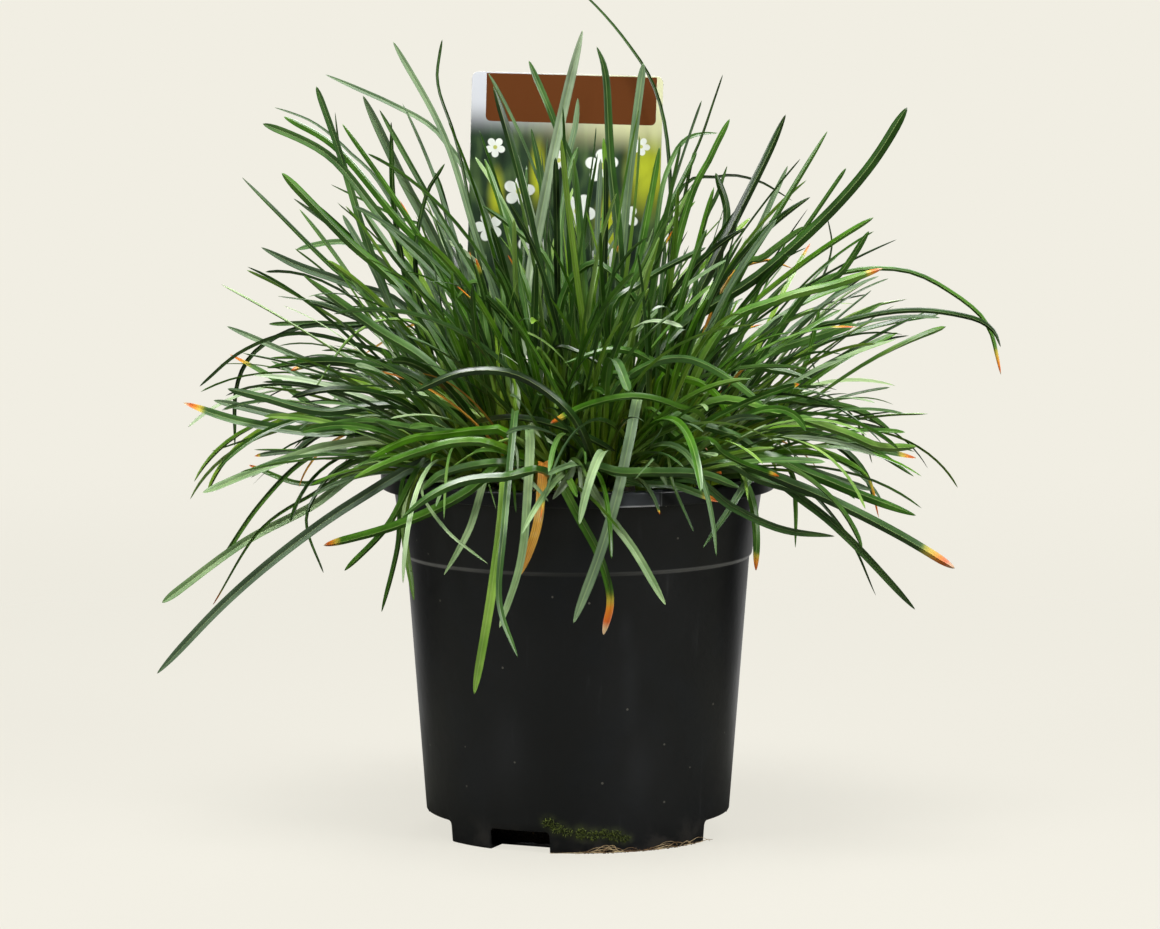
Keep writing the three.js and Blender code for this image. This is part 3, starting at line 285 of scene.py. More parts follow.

# Blades drawn one a row: where it leaves the soil (x, y), its width, then the points it passes on
# its way to the tip, each as seen from the front (x, z) at a depth (y).
DRAWN = [
    # hanging over the front of the pot
    [-42, -38, 4.6, "blue", [-62, 160, -62], [-95, 143, -66], [-125, 122, -62], [-153, 98, -54],
     [-182.5, 67, -44]],
    [-10, -50, 4.8, "yellow_tip", [-25, 163, -76], [-50, 145, -92], [-78, 132, -98], [-110, 123, -104]],
    [-28, -52, 4.8, "bright", [-31, 154, -88], [-33, 133, -100], [-38, 98, -108], [-45, 58, -112]],
    [-35, -48, 3.4, "pale", [-38, 156, -80], [-47, 130, -92], [-58, 110, -96]],
    [20, -58, 3.8, "green", [48, 152, -92], [66, 140, -98], [88, 130, -102], [111, 127, -106]],
    [58, -25, 3.0, "green", [80, 166, -34], [92, 155, -38], [94, 140, -40], [94, 122, -40]],
    [52, -35, 4.0, "orange_tip", [64, 162, -58], [74, 146, -72], [77, 130, -78], [77, 112, -80]],
    [58, -28, 3.6, "green", [76, 160, -62], [68, 143, -82], [54, 122, -94]],
    [30, -50, 2.2, "green", [38, 162, -76], [41, 150, -88], [50, 129, -96]],
    [-5, -52, 3.8, "pale", [0, 156, -82], [14, 135, -96], [25, 120, -102], [38, 97, -108]],
    [28, -40, 4.6, "waxy", [27, 188, -58], [22, 168, -80], [17, 145, -94], [9, 118, -100], [-2, 89, -104]],
    [-12, -50, 4.2, "ripe", [-10, 156, -82], [0, 136, -96], [9, 119, -101], [14, 100, -104], [11, 84, -106]],
    [-22, -52, 4.2, "pale", [-21, 174, -78], [-22, 142, -102], [-25, 115, -110], [-34, 87, -115]],
    [-30, -45, 3.2, "green", [-27, 182, -70], [-32, 130, -112], [-34, 98, -118], [-26, 74, -122]],
    [-50, -30, 2.2, "pale", [-66, 150, -68], [-58, 131, -84], [-39, 115, -92]],
    [-48, -38, 3.6, "green", [-64, 162, -64], [-82, 132, -74], [-101, 112, -80]],
    [-56, -20, 3.0, "green", [-73, 156, -50], [-78, 122, -54], [-85, 94, -56]],
    [-52, -32, 3.4, "pale", [-66, 157, -60], [-75, 135, -68], [-71, 99, -74]],
    # spreading to the left
    [-48, -12, 4.2, "pale", [-85, 159, -20], [-115, 140, -24], [-145, 124, -28], [-180, 98, -32]],
    [-55, 5, 3.0, "olive", [-95, 168, 4], [-118, 160, 4], [-138, 140, 2], [-155, 115, 0]],
    [-58, -5, 2.2, "olive", [-92, 156, -8], [-115, 145, -10], [-138, 129, -12], [-158, 97, -14]],
    [-50, -25, 2.2, "green", [-85, 162, -44], [-103, 157, -50], [-115, 142, -54], [-117, 130, -54],
     [-110, 111, -54]],
    [-35, -30, 4.4, "pale", [-75, 168, -40], [-108, 166, -46], [-138, 156, -50], [-162, 146, -54]],
    [-58, 12, 3.2, "olive", [-85, 166, 14], [-104, 154, 16], [-120, 150, 18], [-142, 158, 20]],
    [-55, 25, 2.2, "green", [-95, 176, 32], [-128, 173, 36], [-158, 164, 40]],
    [-40, -20, 4.6, "orange_tip", [-80, 174, -26], [-110, 172, -28], [-145, 177, -30], [-170, 185, -32]],
    [-48, 15, 4.2, "waxy", [-85, 177, 18], [-115, 177, 20], [-157, 186, 22]],
    [-30, -42, 4.0, "blue", [-70, 182, -56], [-110, 181, -62], [-135, 187, -66], [-151, 191, -68]],
    [-30, 30, 2.8, "deep", [-75, 213, 34], [-98, 217, 36], [-118, 218, 38], [-138, 208, 40], [-147, 192, 42],
    [-148, 166, 42]],
    [-25, -5, 2.8, "green", [-70, 200, -6], [-95, 210, -8], [-122, 215, -10], [-145, 207, -12],
     [-163, 192, -14]],
    [-42, -2, 3.4, "waxy", [-75, 184, -2], [-100, 196, -2], [-128, 208, -4], [-151, 218, -4]],
    [-55, 30, 4.0, "orange_tip", [-85, 172, 40], [-110, 181, 42], [-130, 195, 44], [-150, 206, 44]],
    [-45, 42, 3.0, "green", [-80, 212, 50], [-104, 219, 54], [-133, 219, 58]],
    [-35, -40, 4.4, "deep", [-65, 193, -52], [-95, 202, -58], [-115, 203, -62], [-134, 200, -64]],
    [-45, -42, 2.0, "pale", [-62, 210, -60], [-80, 221, -64], [-98, 213, -68], [-114, 190, -70]],
    # leaning to the upper left
    [-12, 8, 3.6, "waxy", [-40, 245, 8], [-57, 299, 10], [-79, 340, 12]],
    [-8, 25, 3.4, "waxy", [-38, 262, 28], [-58, 299, 32], [-75, 311, 34], [-92, 319, 36], [-108, 326, 38]],
    [-55, -10, 4.0, "green", [-76, 215, -12], [-90, 252, -12], [-102, 292, -12], [-112, 321, -12]],
    [-15, 30, 2.6, "blue", [-78, 268, 30], [-98, 293, 30], [-114, 306, 30], [-130, 312, 30]],
    [-5, 0, 4.3, "green", [-52, 236, 0], [-76, 262, 0], [-103, 294, -2], [-126, 308, -4]],
    [-12, -15, 4.3, "green", [-50, 226, -16], [-82, 262, -18], [-103, 288, -20], [-118, 298, -20],
     [-135, 305, -22]],
    [-45, 20, 2.2, "deep", [-88, 250, 20], [-101, 290, 22], [-104, 310, 22]],
    [-20, -25, 3.2, "green", [-56, 236, -26], [-78, 272, -28], [-101, 305, -30]],
    [-25, 12, 4.8, "waxy", [-55, 240, 12], [-76, 283, 12], [-92, 317, 12]],
    [-8, -8, 3.2, "green", [-40, 232, -8], [-62, 270, -8], [-85, 311, -10]],
    [-50, 8, 3.6, "deep", [-72, 230, 6], [-79, 270, 4], [-80, 306, 4]],
    [-35, -12, 3.2, "deep", [-80, 222, -14], [-105, 243, -16], [-130, 268, -18], [-144, 282, -20]],
    [-28, -35, 4.4, "green", [-70, 226, -38], [-100, 256, -42], [-127, 284, -46]],
    [-32, 28, 3.8, "waxy", [-72, 233, 30], [-100, 257, 32], [-122, 273, 34]],
    [-25, 40, 4.0, "green", [-70, 240, 46], [-94, 253, 50], [-108, 254, 52], [-121, 251, 54]],
    [-30, 0, 4.2, "blue", [-70, 222, 0], [-98, 236, 0], [-120, 244, 0], [-136, 252, 0]],
    [-20, 45, 2.4, "green", [-60, 252, 48], [-76, 264, 50], [-106, 279, 54]],
    [-40, -30, 3.4, "waxy", [-76, 215, -34], [-88, 243, -38], [-101, 266, -40]],
    [-36, 45, 2.0, "deep", [-78, 218, 50], [-104, 227, 54], [-129, 231, 58]],
    [-22, -48, 4.8, "waxy", [-60, 198, -56], [-88, 218, -62], [-118, 240, -68]],
    [-35, -20, 4.2, "waxy", [-60, 222, -22], [-80, 250, -24], [-93, 269, -26]],
    [-58, 0, 3.0, "deep", [-69, 235, 0], [-66, 271, 0], [-57, 288, 0]],
    # standing up at the middle
    [-38, 15, 3.4, "wisp", [-45, 262, 15], [-52, 297, 15], [-60, 322, 15], [-58, 341, 15]],
    [10, 5, 4.0, "green", [0, 272, 8], [-9, 303, 10], [-21, 332, 12]],
    [-22, -20, 5.0, "pale_waxy", [-21, 235, -20], [-14, 275, -18], [-6, 312, -16], [2, 345, -14]],
    [15, -10, 4.6, "deep", [18, 245, -8], [14, 290, -6], [12, 325, -4], [8, 338, -4]],
    [18, 20, 4.4, "waxy", [20, 262, 22], [24, 300, 24], [28, 331, 26]],
    [35, 35, 2.6, "deep", [39, 240, 40], [39, 290, 42], [33, 320, 43], [20, 341, 43], [6, 357, 43],
     [-10, 371, 43]],
    [-5, 20, 4.2, "waxy", [-6, 270, 24], [-1, 305, 28], [0, 316, 30]],
    # leaning to the upper right
    [30, 5, 2.4, "deep", [46, 275, 6], [54, 302, 6], [62, 326, 6]],
    [28, -12, 4.0, "green", [45, 262, -14], [57, 291, -16], [65, 307, -16]],
    [30, 22, 3.0, "green", [34, 262, 24], [42, 293, 26], [50, 300, 26], [60, 301, 26]],
    [20, -20, 4.6, "deep", [40, 206, -22], [58, 245, -24], [79, 287, -26], [89, 309, -26]],
    [42, 10, 3.0, "green", [52, 250, 10], [60, 275, 10], [64, 287, 10]],
    [22, 42, 2.6, "deep", [40, 268, 50], [58, 282, 54], [76, 281, 58], [92, 272, 60]],
    [48, -5, 4.2, "deep", [60, 240, -6], [64, 266, -6], [59, 284, -6]],
    [30, -30, 3.0, "green", [66, 232, -34], [83, 262, -38], [107, 302, -42]],
    [45, 25, 3.4, "waxy", [68, 237, 28], [80, 265, 30], [90, 287, 32]],
    [40, -5, 2.8, "green", [78, 235, -6], [93, 254, -6], [115, 286, -8]],
    [12, -30, 4.8, "deep", [38, 210, -34], [78, 240, -42], [106, 265, -48], [126, 288, -52], [141, 312, -54]],
    [35, -45, 4.0, "waxy", [66, 236, -52], [80, 248, -56], [97, 261, -60]],
    [50, 35, 2.2, "deep", [92, 222, 44], [104, 237, 50], [109, 252, 52], [107, 265, 52]],
    [42, -25, 3.6, "green", [95, 228, -34], [112, 240, -38], [125, 259, -42]],
    [28, -42, 4.4, "olive_tip", [60, 214, -56], [85, 229, -62], [110, 236, -66], [131, 243, -70]],
    [25, -15, 4.6, "waxy", [60, 196, -18], [84, 207, -20], [108, 215, -22], [120, 219, -22]],
    # the two long arcs on the right
    [30, 8, 2.8, "olive", [70, 216, 4], [96, 234, 0], [118, 242, -4], [141, 242, -8], [160, 233, -12],
     [176, 219, -16],
    [182.2, 197, -20]],
    [46, -15, 3.0, "deep", [88, 209, -20], [118, 221, -26], [145, 225, -30], [168, 222, -34], [178, 217, -35],
    [182, 209, -36]],
    # spreading to the right
    [55, -20, 3.0, "green", [72, 172, -28], [88, 182, -32], [98, 202, -34], [104, 226, -34]],
    [50, 15, 2.0, "deep", [75, 208, 24], [92, 212, 26], [100, 204, 26], [104, 193, 26]],
    [45, -35, 4.2, "waxy", [72, 196, -44], [85, 199, -48], [101, 195, -52]],
    [52, 40, 2.4, "green", [70, 196, 48], [82, 202, 52], [94, 202, 56]],
    [55, 10, 3.8, "green", [75, 184, 12], [90, 187, 14], [102, 190, 16]],
    [50, -28, 4.2, "waxy", [80, 184, -34], [100, 185, -38], [120, 182, -42], [135, 173, -44]],
    [58, 5, 3.0, "waxy", [80, 180, 4], [97, 178, 4], [120, 176, 2], [135, 173, 2]],
    [20, -50, 4.6, "pale", [55, 184, -66], [85, 181, -74], [115, 172, -80], [130, 166, -82], [146, 166, -84]],
    [48, 22, 4.2, "orange_tip", [80, 175, 24], [105, 171, 26], [125, 166, 28], [146, 161, 30]],
    [57, -12, 3.6, "green", [85, 172, -16], [110, 170, -18], [128, 164, -20], [145, 153, -22]],
    [40, -48, 4.8, "green", [75, 162, -62], [100, 154, -66], [122, 145, -70], [146, 136, -74]],
    [58, 25, 4.0, "waxy", [80, 164, 28], [100, 156, 32], [127, 147, 36]],
    [55, -30, 2.4, "ripe", [78, 170, -36], [104, 165, -40], [124, 154, -42], [130, 135, -42]],
    [30, -55, 4.8, "ripe_tip", [66, 158, -80], [92, 150, -86], [115, 140, -90], [140, 127, -94],
     [163, 113, -96]],
    [45, -42, 4.6, "green", [76, 154, -64], [98, 142, -70], [118, 125, -74], [146, 95, -78]],
    [60, -5, 2.0, "deep", [92, 152, -10], [116, 128, -12], [129, 101, -14]],
    # arching towards the front and the back
    [-15, -30, 2.6, "deep", [-12, 205, -50], [0, 207, -58], [14, 198, -64], [27, 187, -68]],
    [-10, -15, 4.0, "green", [-8, 225, -30], [5, 245, -40], [18, 238, -48], [33, 218, -54]],
    [-32, -35, 2.6, "bright", [-33, 195, -38], [-35, 210, -38], [-37, 224, -38]],
    [8, -46, 4.2, "green", [12, 196, -84], [16, 204, -124], [22, 190, -168]],
    [9, 54, 4.2, "green", [12, 204, 96], [2, 214, 132], [-10, 196, 168]],
]

# Dry blades, drawn in the same form
DRAWN_DRY = [
    [-17, -48, 4.4, "dry", [-15, 160, -82], [-16, 145, -94], [-18, 130, -99], [-25, 110, -102]],
    [35, -8, 2.6, "dry", [60, 230, -22], [78, 246, -30], [92, 243, -36]],
    [-38, 26, 2.4, "dry", [-58, 214, 34], [-70, 219, 38], [-92, 206, 44]],
]

# Finer blades, drawn in the same form: the ones that lie nearest to the eye
DRAWN_FINE = [
    # standing before the label
    [-15, -10, 3.4, "blue", [-19, 186, -30], [-22, 221, -28], [-26, 243, -27], [-29, 262, -26],
     [-34, 274, -24]],
    [-30, -20, 3.6, "waxy", [-31, 173, -46], [-37, 199, -47], [-41, 225, -48], [-44, 238, -49],
     [-52, 230, -50]],
    [0, -25, 3.2, "green", [-8, 182, -50], [10, 210, -48], [27, 243, -45], [40, 271, -42], [51, 293, -40]],
    [-25, -30, 2.0, "lime", [-32, 182, -56], [-34, 198, -56], [-36, 222, -56]],
    [-25, -40, 2.4, "lime", [-25, 178, -62], [-27, 192, -62], [-31, 205, -62]],
    [-10, -40, 2.2, "pale", [-9, 178, -64], [-10, 190, -63], [-12, 200, -62]],
    [0, 0, 3.2, "waxy", [-1, 217, -30], [-13, 246, -32], [-19, 253, -33], [-31, 263, -34], [-41, 270, -36]],
    [12, -10, 3.6, "pale_waxy", [16, 212, -40], [25, 234, -38], [34, 253, -35], [41, 263, -32],
     [48, 277, -30]],
    [10, -20, 3.6, "deep", [14, 221, -44], [25, 235, -44], [37, 243, -44], [55, 252, -44]],
    [0, 10, 3.6, "waxy", [-5, 217, -10], [-8, 251, -7], [-5, 277, -3], [0, 295, 0]],
    [-8, 5, 3.8, "green", [-8, 217, -20], [-13, 251, -18], [-16, 282, -16], [-20, 303, -14]],
    [5, 0, 3.4, "bright", [5, 217, -24], [10, 251, -23], [12, 277, -21], [11, 299, -20]],
    [20, 10, 3.8, "green", [18, 217, -14], [27, 251, -12], [32, 277, -10], [35, 295, -8]],
    [-20, 10, 3.4, "pale", [-19, 217, -14], [-28, 251, -12], [-34, 273, -10], [-40, 290, -8]],
    # lying across the front
    [-22, -50, 4.6, "vivid", [-30, 171, -84], [-40, 173, -86], [-58, 171, -88], [-73, 169, -90],
     [-90, 161, -92]],
    [-30, -45, 4.4, "vivid", [-34, 166, -80], [-51, 168, -82], [-68, 164, -83], [-84, 158, -84],
     [-97, 152, -86]],
    [-35, -40, 3.6, "waxy", [-42, 170, -76], [-53, 172, -77], [-70, 174, -78], [-90, 177, -79],
     [-107, 176, -80]],
    [-30, -35, 3.6, "pale", [-38, 175, -70], [-47, 181, -70], [-61, 187, -71], [-77, 189, -72],
     [-91, 189, -72]],
    [-20, -50, 1.6, "pale", [-25, 168, -92], [-34, 168, -93], [-47, 162, -95], [-57, 155, -96]],
    [-25, -52, 4.0, "waxy", [-31, 159, -88], [-44, 158, -90], [-53, 156, -93], [-61, 153, -96],
     [-67, 147, -98]],
    [-15, -54, 4.2, "green", [-16, 156, -90], [-30, 153, -92], [-44, 152, -94], [-55, 149, -96],
     [-66, 143, -98], [-76, 135, -100]],
    [-8, -54, 4.8, "pale_waxy", [-5, 159, -98], [-2, 157, -100], [-5, 151, -102], [-11, 143, -104]],
    [2, -55, 2.6, "pale_waxy", [0, 158, -98], [1, 152, -100], [2, 140, -102]],
    [-20, -52, 2.4, "pale_waxy", [-29, 171, -98], [-27, 166, -99], [-26, 161, -101], [-26, 154, -102]],
    [-10, -50, 3.0, "pale_waxy", [-21, 175, -88], [-16, 171, -89], [-9, 166, -90]],
    [20, -45, 4.8, "olive", [31, 178, -84], [38, 174, -86], [47, 166, -87], [57, 159, -88], [62, 154, -90]],
    [22, -40, 2.6, "yellow_tip", [29, 181, -80], [35, 180, -81], [43, 176, -82], [51, 170, -83],
     [56, 164, -84]],
    [30, -30, 4.2, "vivid", [35, 193, -60], [47, 195, -62], [58, 190, -64], [66, 178, -66]],
    [35, -40, 4.2, "waxy", [40, 178, -78], [50, 176, -80], [67, 171, -81], [80, 163, -82], [101, 154, -84]],
    [10, -55, 4.8, "waxy", [5, 158, -92], [18, 155, -94], [35, 155, -95], [54, 154, -96], [70, 148, -98]],
    [15, -55, 3.6, "orange_tip", [10, 156, -96], [27, 150, -97], [42, 149, -99], [61, 142, -100]],
    [38, -40, 3.2, "yellow_tip", [53, 169, -82], [63, 163, -83], [73, 158, -83], [87, 153, -84]],
    [40, -38, 4.0, "waxy", [61, 159, -80], [77, 152, -81], [90, 148, -83], [105, 144, -84]],
    [40, -20, 3.2, "green", [48, 187, -50], [69, 186, -51], [87, 186, -51], [103, 190, -52]],
    # crossing over the tops of the hanging blades
    [5, -50, 3.8, "deep", [0, 176, -90], [-14, 190, -100], [-30, 198, -104], [-50, 198, -106],
     [-70, 190, -106]],
    [45, -30, 3.8, "green", [42, 190, -66], [30, 204, -74], [14, 208, -78], [-6, 202, -80]],
    [10, -45, 4.0, "waxy", [14, 186, -72], [28, 200, -80], [46, 204, -84], [64, 196, -86], [80, 184, -88]],
    [-50, -30, 3.8, "deep", [-52, 172, -70], [-38, 178, -84], [-20, 178, -92], [0, 172, -96], [16, 164, -98]],
    [52, -30, 3.6, "olive", [54, 176, -66], [42, 184, -78], [24, 188, -86], [4, 184, -90], [-12, 176, -92]],
]


# Shared helpers

def mix(start, end, share):
    return start + (end - start) * share


def clamp(value, low=0.0, high=1.0):
    return max(low, min(high, value))


def unit(vector):
    return vector / (np.linalg.norm(vector) or 1.0)


def draws(seed):
    """Even random numbers from 0 to 1, always the same ones for the same seed."""
    state = (seed * 2654435761) & 0xFFFFFFFF

    def draw():
        nonlocal state
        state = (state * 1664525 + 1013904223) & 0xFFFFFFFF
        return state / 4294967296

    draw()
    draw()
    return draw


def soil_top(x, y):
    """The height of the soil's lumpy top."""
    dome = SOIL_DOME * (1 - (x * x + y * y) / (SOIL_RADIUS * SOIL_RADIUS))
    lumps = LUMPS * math.sin(0.11 * x + 1) * math.cos(0.13 * y)
    return SOIL_RIM_HEIGHT + dome + lumps + SMALL_LUMPS * math.sin(0.23 * x - 0.19 * y)


def crumbly_top(x, y):
    """The height of the soil's top with its finer crumbs."""
    crumb = noise.noise(Vector((x, y, 0)) * 0.35) + 0.6 * noise.noise(Vector((x, y, 7)) * 0.9)
    return soil_top(x, y) + CRUMB_HEIGHT * crumb


def read_off(rows, shares):
    """Points that are known at even steps along a curve, read off smoothly at any shares of its length."""
    posts = np.vstack([2 * rows[0] - rows[1], rows, 2 * rows[-1] - rows[-2]])
    last = len(rows) - 1
    steps = np.clip(shares * last, 0, last)
    k = np.minimum(steps.astype(int), last - 1)
    u = (steps - k)[:, None]
    a, b, c, d = (posts[k + i] for i in range(4))
    bend = 2 * a - 5 * b + 4 * c - d + u * (3 * (b - c) + d - a)
    return b + 0.5 * u * (c - a + u * bend)


def mesh_of(name, points, faces=(), edges=()):
    mesh = bpy.data.meshes.new(name)
    mesh.from_pydata(points, edges, faces)
    return mesh


def carry(mesh, name, rows, kind="FLOAT"):
    """Keep a number or a vector on the mesh for each of its points."""
    field = "value" if kind == "FLOAT" else "vector"
    mesh.attributes.new(name, kind, "POINT").data.foreach_set(field, np.ravel(rows))


def placed(name, data):
    """A new object in the scene."""
    thing = bpy.data.objects.new(name, data)
    bpy.context.scene.collection.objects.link(thing)
    return thing


def worked_out(thing):
    """The plain mesh that an object's modifiers make. The object itself goes."""
    evaluated = thing.evaluated_get(bpy.context.evaluated_depsgraph_get())
    mesh = bpy.data.meshes.new_from_object(evaluated)
    bpy.data.objects.remove(thing)
    return mesh


def piece(name, mesh, replaced=()):
    """A finished piece of the plant, riding on its one body."""
    mesh.name = name
    thing = placed(name, mesh)
    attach(thing, "root")
    if replaced:
        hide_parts(*replaced)


# Tufts and blades

class Tuft:
    """A crown in the soil and the blades that grow from it."""

    def __init__(self, number):
        radius = CLUMP_RADIUS * math.sqrt((number + 0.5) / TUFTS)
        angle = number * GOLDEN_ANGLE
        self.number = number
        self.x = radius * math.cos(angle)
        self.y = radius * math.sin(angle)
        beside = self.x - STAKE_X
        if abs(self.y - CARD_Y) < STAKE_CLEAR / 2 and abs(beside) < STAKE_CLEAR:
            self.x = STAKE_X + math.copysign(STAKE_CLEAR, beside)
        self.ground = soil_top(self.x, self.y)
        self.dry = number in DRY_TUFTS
        self.blades = []


class Blade:
    """A blade's spine, its width, how it turns about its spine, and the look that its row names."""

    def __init__(self, spine, width, twist, spans=GROWN_SPANS, facing=0.0, look=None):
        self.spine = spine
        self.width = width
        self.twist = twist
        self.spans = spans
        self.facing = facing
        self.look = look
        self.length = sum(math.dist(a, b) for a, b in zip(spine, spine[1:]))
        self.slimness = 1.0
        self.taper = 0.0
        self.tip = 3.0

    def slim_down(self, draw):
        """Settle how much slimmer than its room it is, how it narrows and how long its tip is."""
        front = clamp(-self.spine[-1][1] / 100)
        broad = clamp((self.width - FULL_WIDTHS[0]) / (FULL_WIDTHS[1] - FULL_WIDTHS[0]))
        grown = mix(*SLIM_GROWN, draw())
        self.slimness = mix(SLIM_BEHIND, SLIM_IN_FRONT, max(front, broad)) if self.look else grown
        if self.look == "wisp":
            self.slimness = WISP_SLIMNESS
        self.taper = THREAD_TAPER if self.width < THREAD_WIDTH else mix(*TAPERS, draw())
        self.tip = mix(*TIP_LENGTHS, draw() ** 2.5)

    def width_at(self, s):
        """Its width: parallel-sided but for a narrow root and a blunt tip."""
        base = min(1, BASE_WIDTH + 1.9 * s)
        left = min(1, (1 - s) * self.length / (self.width * self.tip))
        tip = (left * (2 - left)) ** TIP_BLUNTNESS
        return max(NARROWEST, self.width * self.slimness * base * tip * (1 - self.taper * s ** 3))

    def fold_at(self, s):
        """How far the middle of its section lies under its edges."""
        return min(KEEL, mix(FOLD_AT_ROOT, FOLD_AT_TIP, s) * self.width_at(s))


def seen(x, z, y):
    """A point seen from the front, at its depth."""
    share = (y - EYE[1]) / (0 - EYE[1])
    return (EYE[0] + (x - EYE[0]) * share, y, EYE[2] + (z - EYE[2]) * share)


def drawn_spine(through):
    """Points at even steps along a smooth curve through the given ones."""
    parts = (len(through) - 1) * FINE_STEPS
    fine = read_off(np.array(through), np.arange(parts + 1) / parts)
    walked = np.append(0, np.cumsum(np.linalg.norm(np.diff(fine, axis=0), axis=1)))
    goals = walked[-1] * np.arange(STEPS + 1) / STEPS
    return np.column_stack([np.interp(goals, walked, axis) for axis in fine.T]).tolist()


def grown_spine(root, heading, lean, droop, sway, length):
    """Points along a blade that leans from upright at its root and droops more and more towards its tip."""
    spine = [root]
    x, y, z = root
    step = length / STEPS
    for i in range(STEPS):
        s = (i + 0.5) / STEPS
        tilt = lean + droop * s * mix(0.35, 1, s)
        turn = heading + sway * s
        x += math.sin(tilt) * math.cos(turn) * step
        y += math.sin(tilt) * math.sin(turn) * step
        z += math.cos(tilt) * step
        spine.append((x, y, z))
    return spine


# The room that each blade takes

def half_room(width, s):
    """Half the width or the depth, whichever is more, that a blade takes at a share of its length."""
    tip = 1 if s < TIP_START else 1 - ((s - TIP_START) / (1 - TIP_START)) ** 2.4
    wide = width * min(1, BASE_WIDTH + 1.9 * s) * tip
    return max(wide / 2, THINNEST, min(KEEL, KEEL_SHARE * wide))


def stations_of(spine):
    """The places along the spine where the room that a blade takes is measured."""
    ways = [[b - a for a, b in zip(here, ahead)] for here, ahead in zip(spine, spine[1:])]
    bend = 0.0
    for before, after in zip(ways, ways[1:]):
        size = math.sqrt(sum(a * a for a in before) * sum(a * a for a in after))
        bend += math.acos(clamp(sum(a * b for a, b in zip(before, after)) / size, -1, 1))
    count = min(MOST_FACES, FEWEST_FACES + math.floor(bend / BEND_PER_FACE))
    return [math.floor(STEPS * k / count + 0.5) for k in range(count + 1)]


def room_of(spine, width):
    """Where a blade takes up room: balls of its half width along its straight stretches."""
    stations = stations_of(spine)
    balls = []
    along = 0.0
    for first, last in zip(stations, stations[1:]):
        start, end = spine[first], spine[last]
        wide, narrow = half_room(width, first / STEPS), half_room(width, last / STEPS)
        length = math.dist(start, end)
        count = math.ceil(length / BALL_STEP)
        for i in range(count):
            share = i / count
            x, y, z = (mix(a, b, share) for a, b in zip(start, end))
            balls.append((x, y, z, mix(wide, narrow, share), along + length * share))
        along += length
    return balls


# What is already taken, in cells that each list every ball near enough to matter
taken = {}
AROUND = [(a, b, c) for a in (-1, 0, 1) for b in (-1, 0, 1) for c in (-1, 0, 1)]


def cell_of(ball):
    return math.floor(ball[0] / CELL), math.floor(ball[1] / CELL), math.floor(ball[2] / CELL)


def occupy(balls, number):
    for ball in balls:
        x, y, z = cell_of(ball)
        for a, b, c in AROUND:
            taken.setdefault((x + a, y + b, z + c), []).append((*ball, number))


def is_free(balls, number, start, clearance):
    """Whether a blade's balls are clear of all others. Blades of one tuft may touch near to their crown."""
    for ball in balls:
        x, y, z, size, along = ball
        for ox, oy, oz, other_size, other_along, owner in taken.get(cell_of(ball), ()):
            if owner == number and (along < start or other_along < start):
                continue
            room = size + other_size + clearance
            if (x - ox) ** 2 + (y - oy) ** 2 + (z - oz) ** 2 < room * room:
                return False
        if meets_pot(ball) or meets_label(ball):
            return False
    return True


def meets_pot(ball):
    """The pot's rim and wall, and the soil further along the blade than its crown."""
    x, y, z, size, along = ball
    radius = math.hypot(x, y)
    margin = 1 + size
    if radius < SOIL_RADIUS - margin:
        return along > CROWN_HEIGHT / 2 and z < soil_top(x, y) + margin
    return radius < RIM_RADIUS + margin and z < RIM_TOP + margin


def meets_label(ball):
    """The card and its stake, which lean by the card's tilt."""
    x, y, z, size, _ = ball
    margin = CARD_THICKNESS + size
    if abs(y - CARD_Y) > margin or z > CARD_TOP + margin:
        return False
    beside = abs(x - CARD_X + (CARD_TOP - z) * math.sin(CARD_TILT))
    width = CARD_WIDTH if z > CARD_TOP - CARD_HEIGHT - margin else STAKE_WIDTH
    return beside < width / 2 + margin


def stays_in_reach(spine):
    return all(math.dist(point, REACH_CENTRE) < REACH and point[2] > REACH_DOWN for point in spine)


def stays_clear(spine):
    """Whether a blade keeps out of the places that stay in view."""
    for x, y, z in spine:
        share = EYE[1] / (EYE[1] - y)
        across, up = mix(EYE[0], x, share), mix(EYE[2], z, share)
        if any(left < across < right and low < up < high and y < depth
               for left, right, low, high, depth in CLEAR_VIEWS):
            return False
    return True


# Planting

def finds_room(blade, tuft, start, clearance):
    """Whether a blade is clear of all others. If so, it joins its tuft."""
    room = room_of(blade.spine, blade.width)
    if not is_free(room, tuft.number, start, clearance):
        return False
    occupy(room, tuft.number)
    tuft.blades.append(blade)
    return True


def twist_of(draw, most):
    """How far a blade is turned about its spine at its root and at its tip."""
    return [(draw() - 0.5) * limit for limit in most]


def plant_drawn(row, tufts, start=DRAWN_START, clearance=CLEARANCE, slides=SLIDES):
    """Plant a drawn blade in the nearest tuft with room for it, slid nearer to the eye or farther away
    until it is clear of the others."""
    x, y, width, look, *points = row
    for tuft in sorted(tufts, key=lambda tuft: math.hypot(tuft.x - x, tuft.y - y))[:NEAREST]:
        count = len(tuft.blades)
        root = (tuft.x, tuft.y, tuft.ground + LOWEST_ROOT + ROOT_STEP * (count % 4))
        twist = twist_of(draws(DRAWN_SEED + tuft.number * TRIES + count), DRAWN_TWIST)
        for shift in slides:
            spine = drawn_spine([root, *(seen(px, pz, py + shift) for px, pz, py in points)])
            if finds_room(Blade(spine, width, twist, DRAWN_SPANS, FACING, look), tuft, start, clearance):
                return


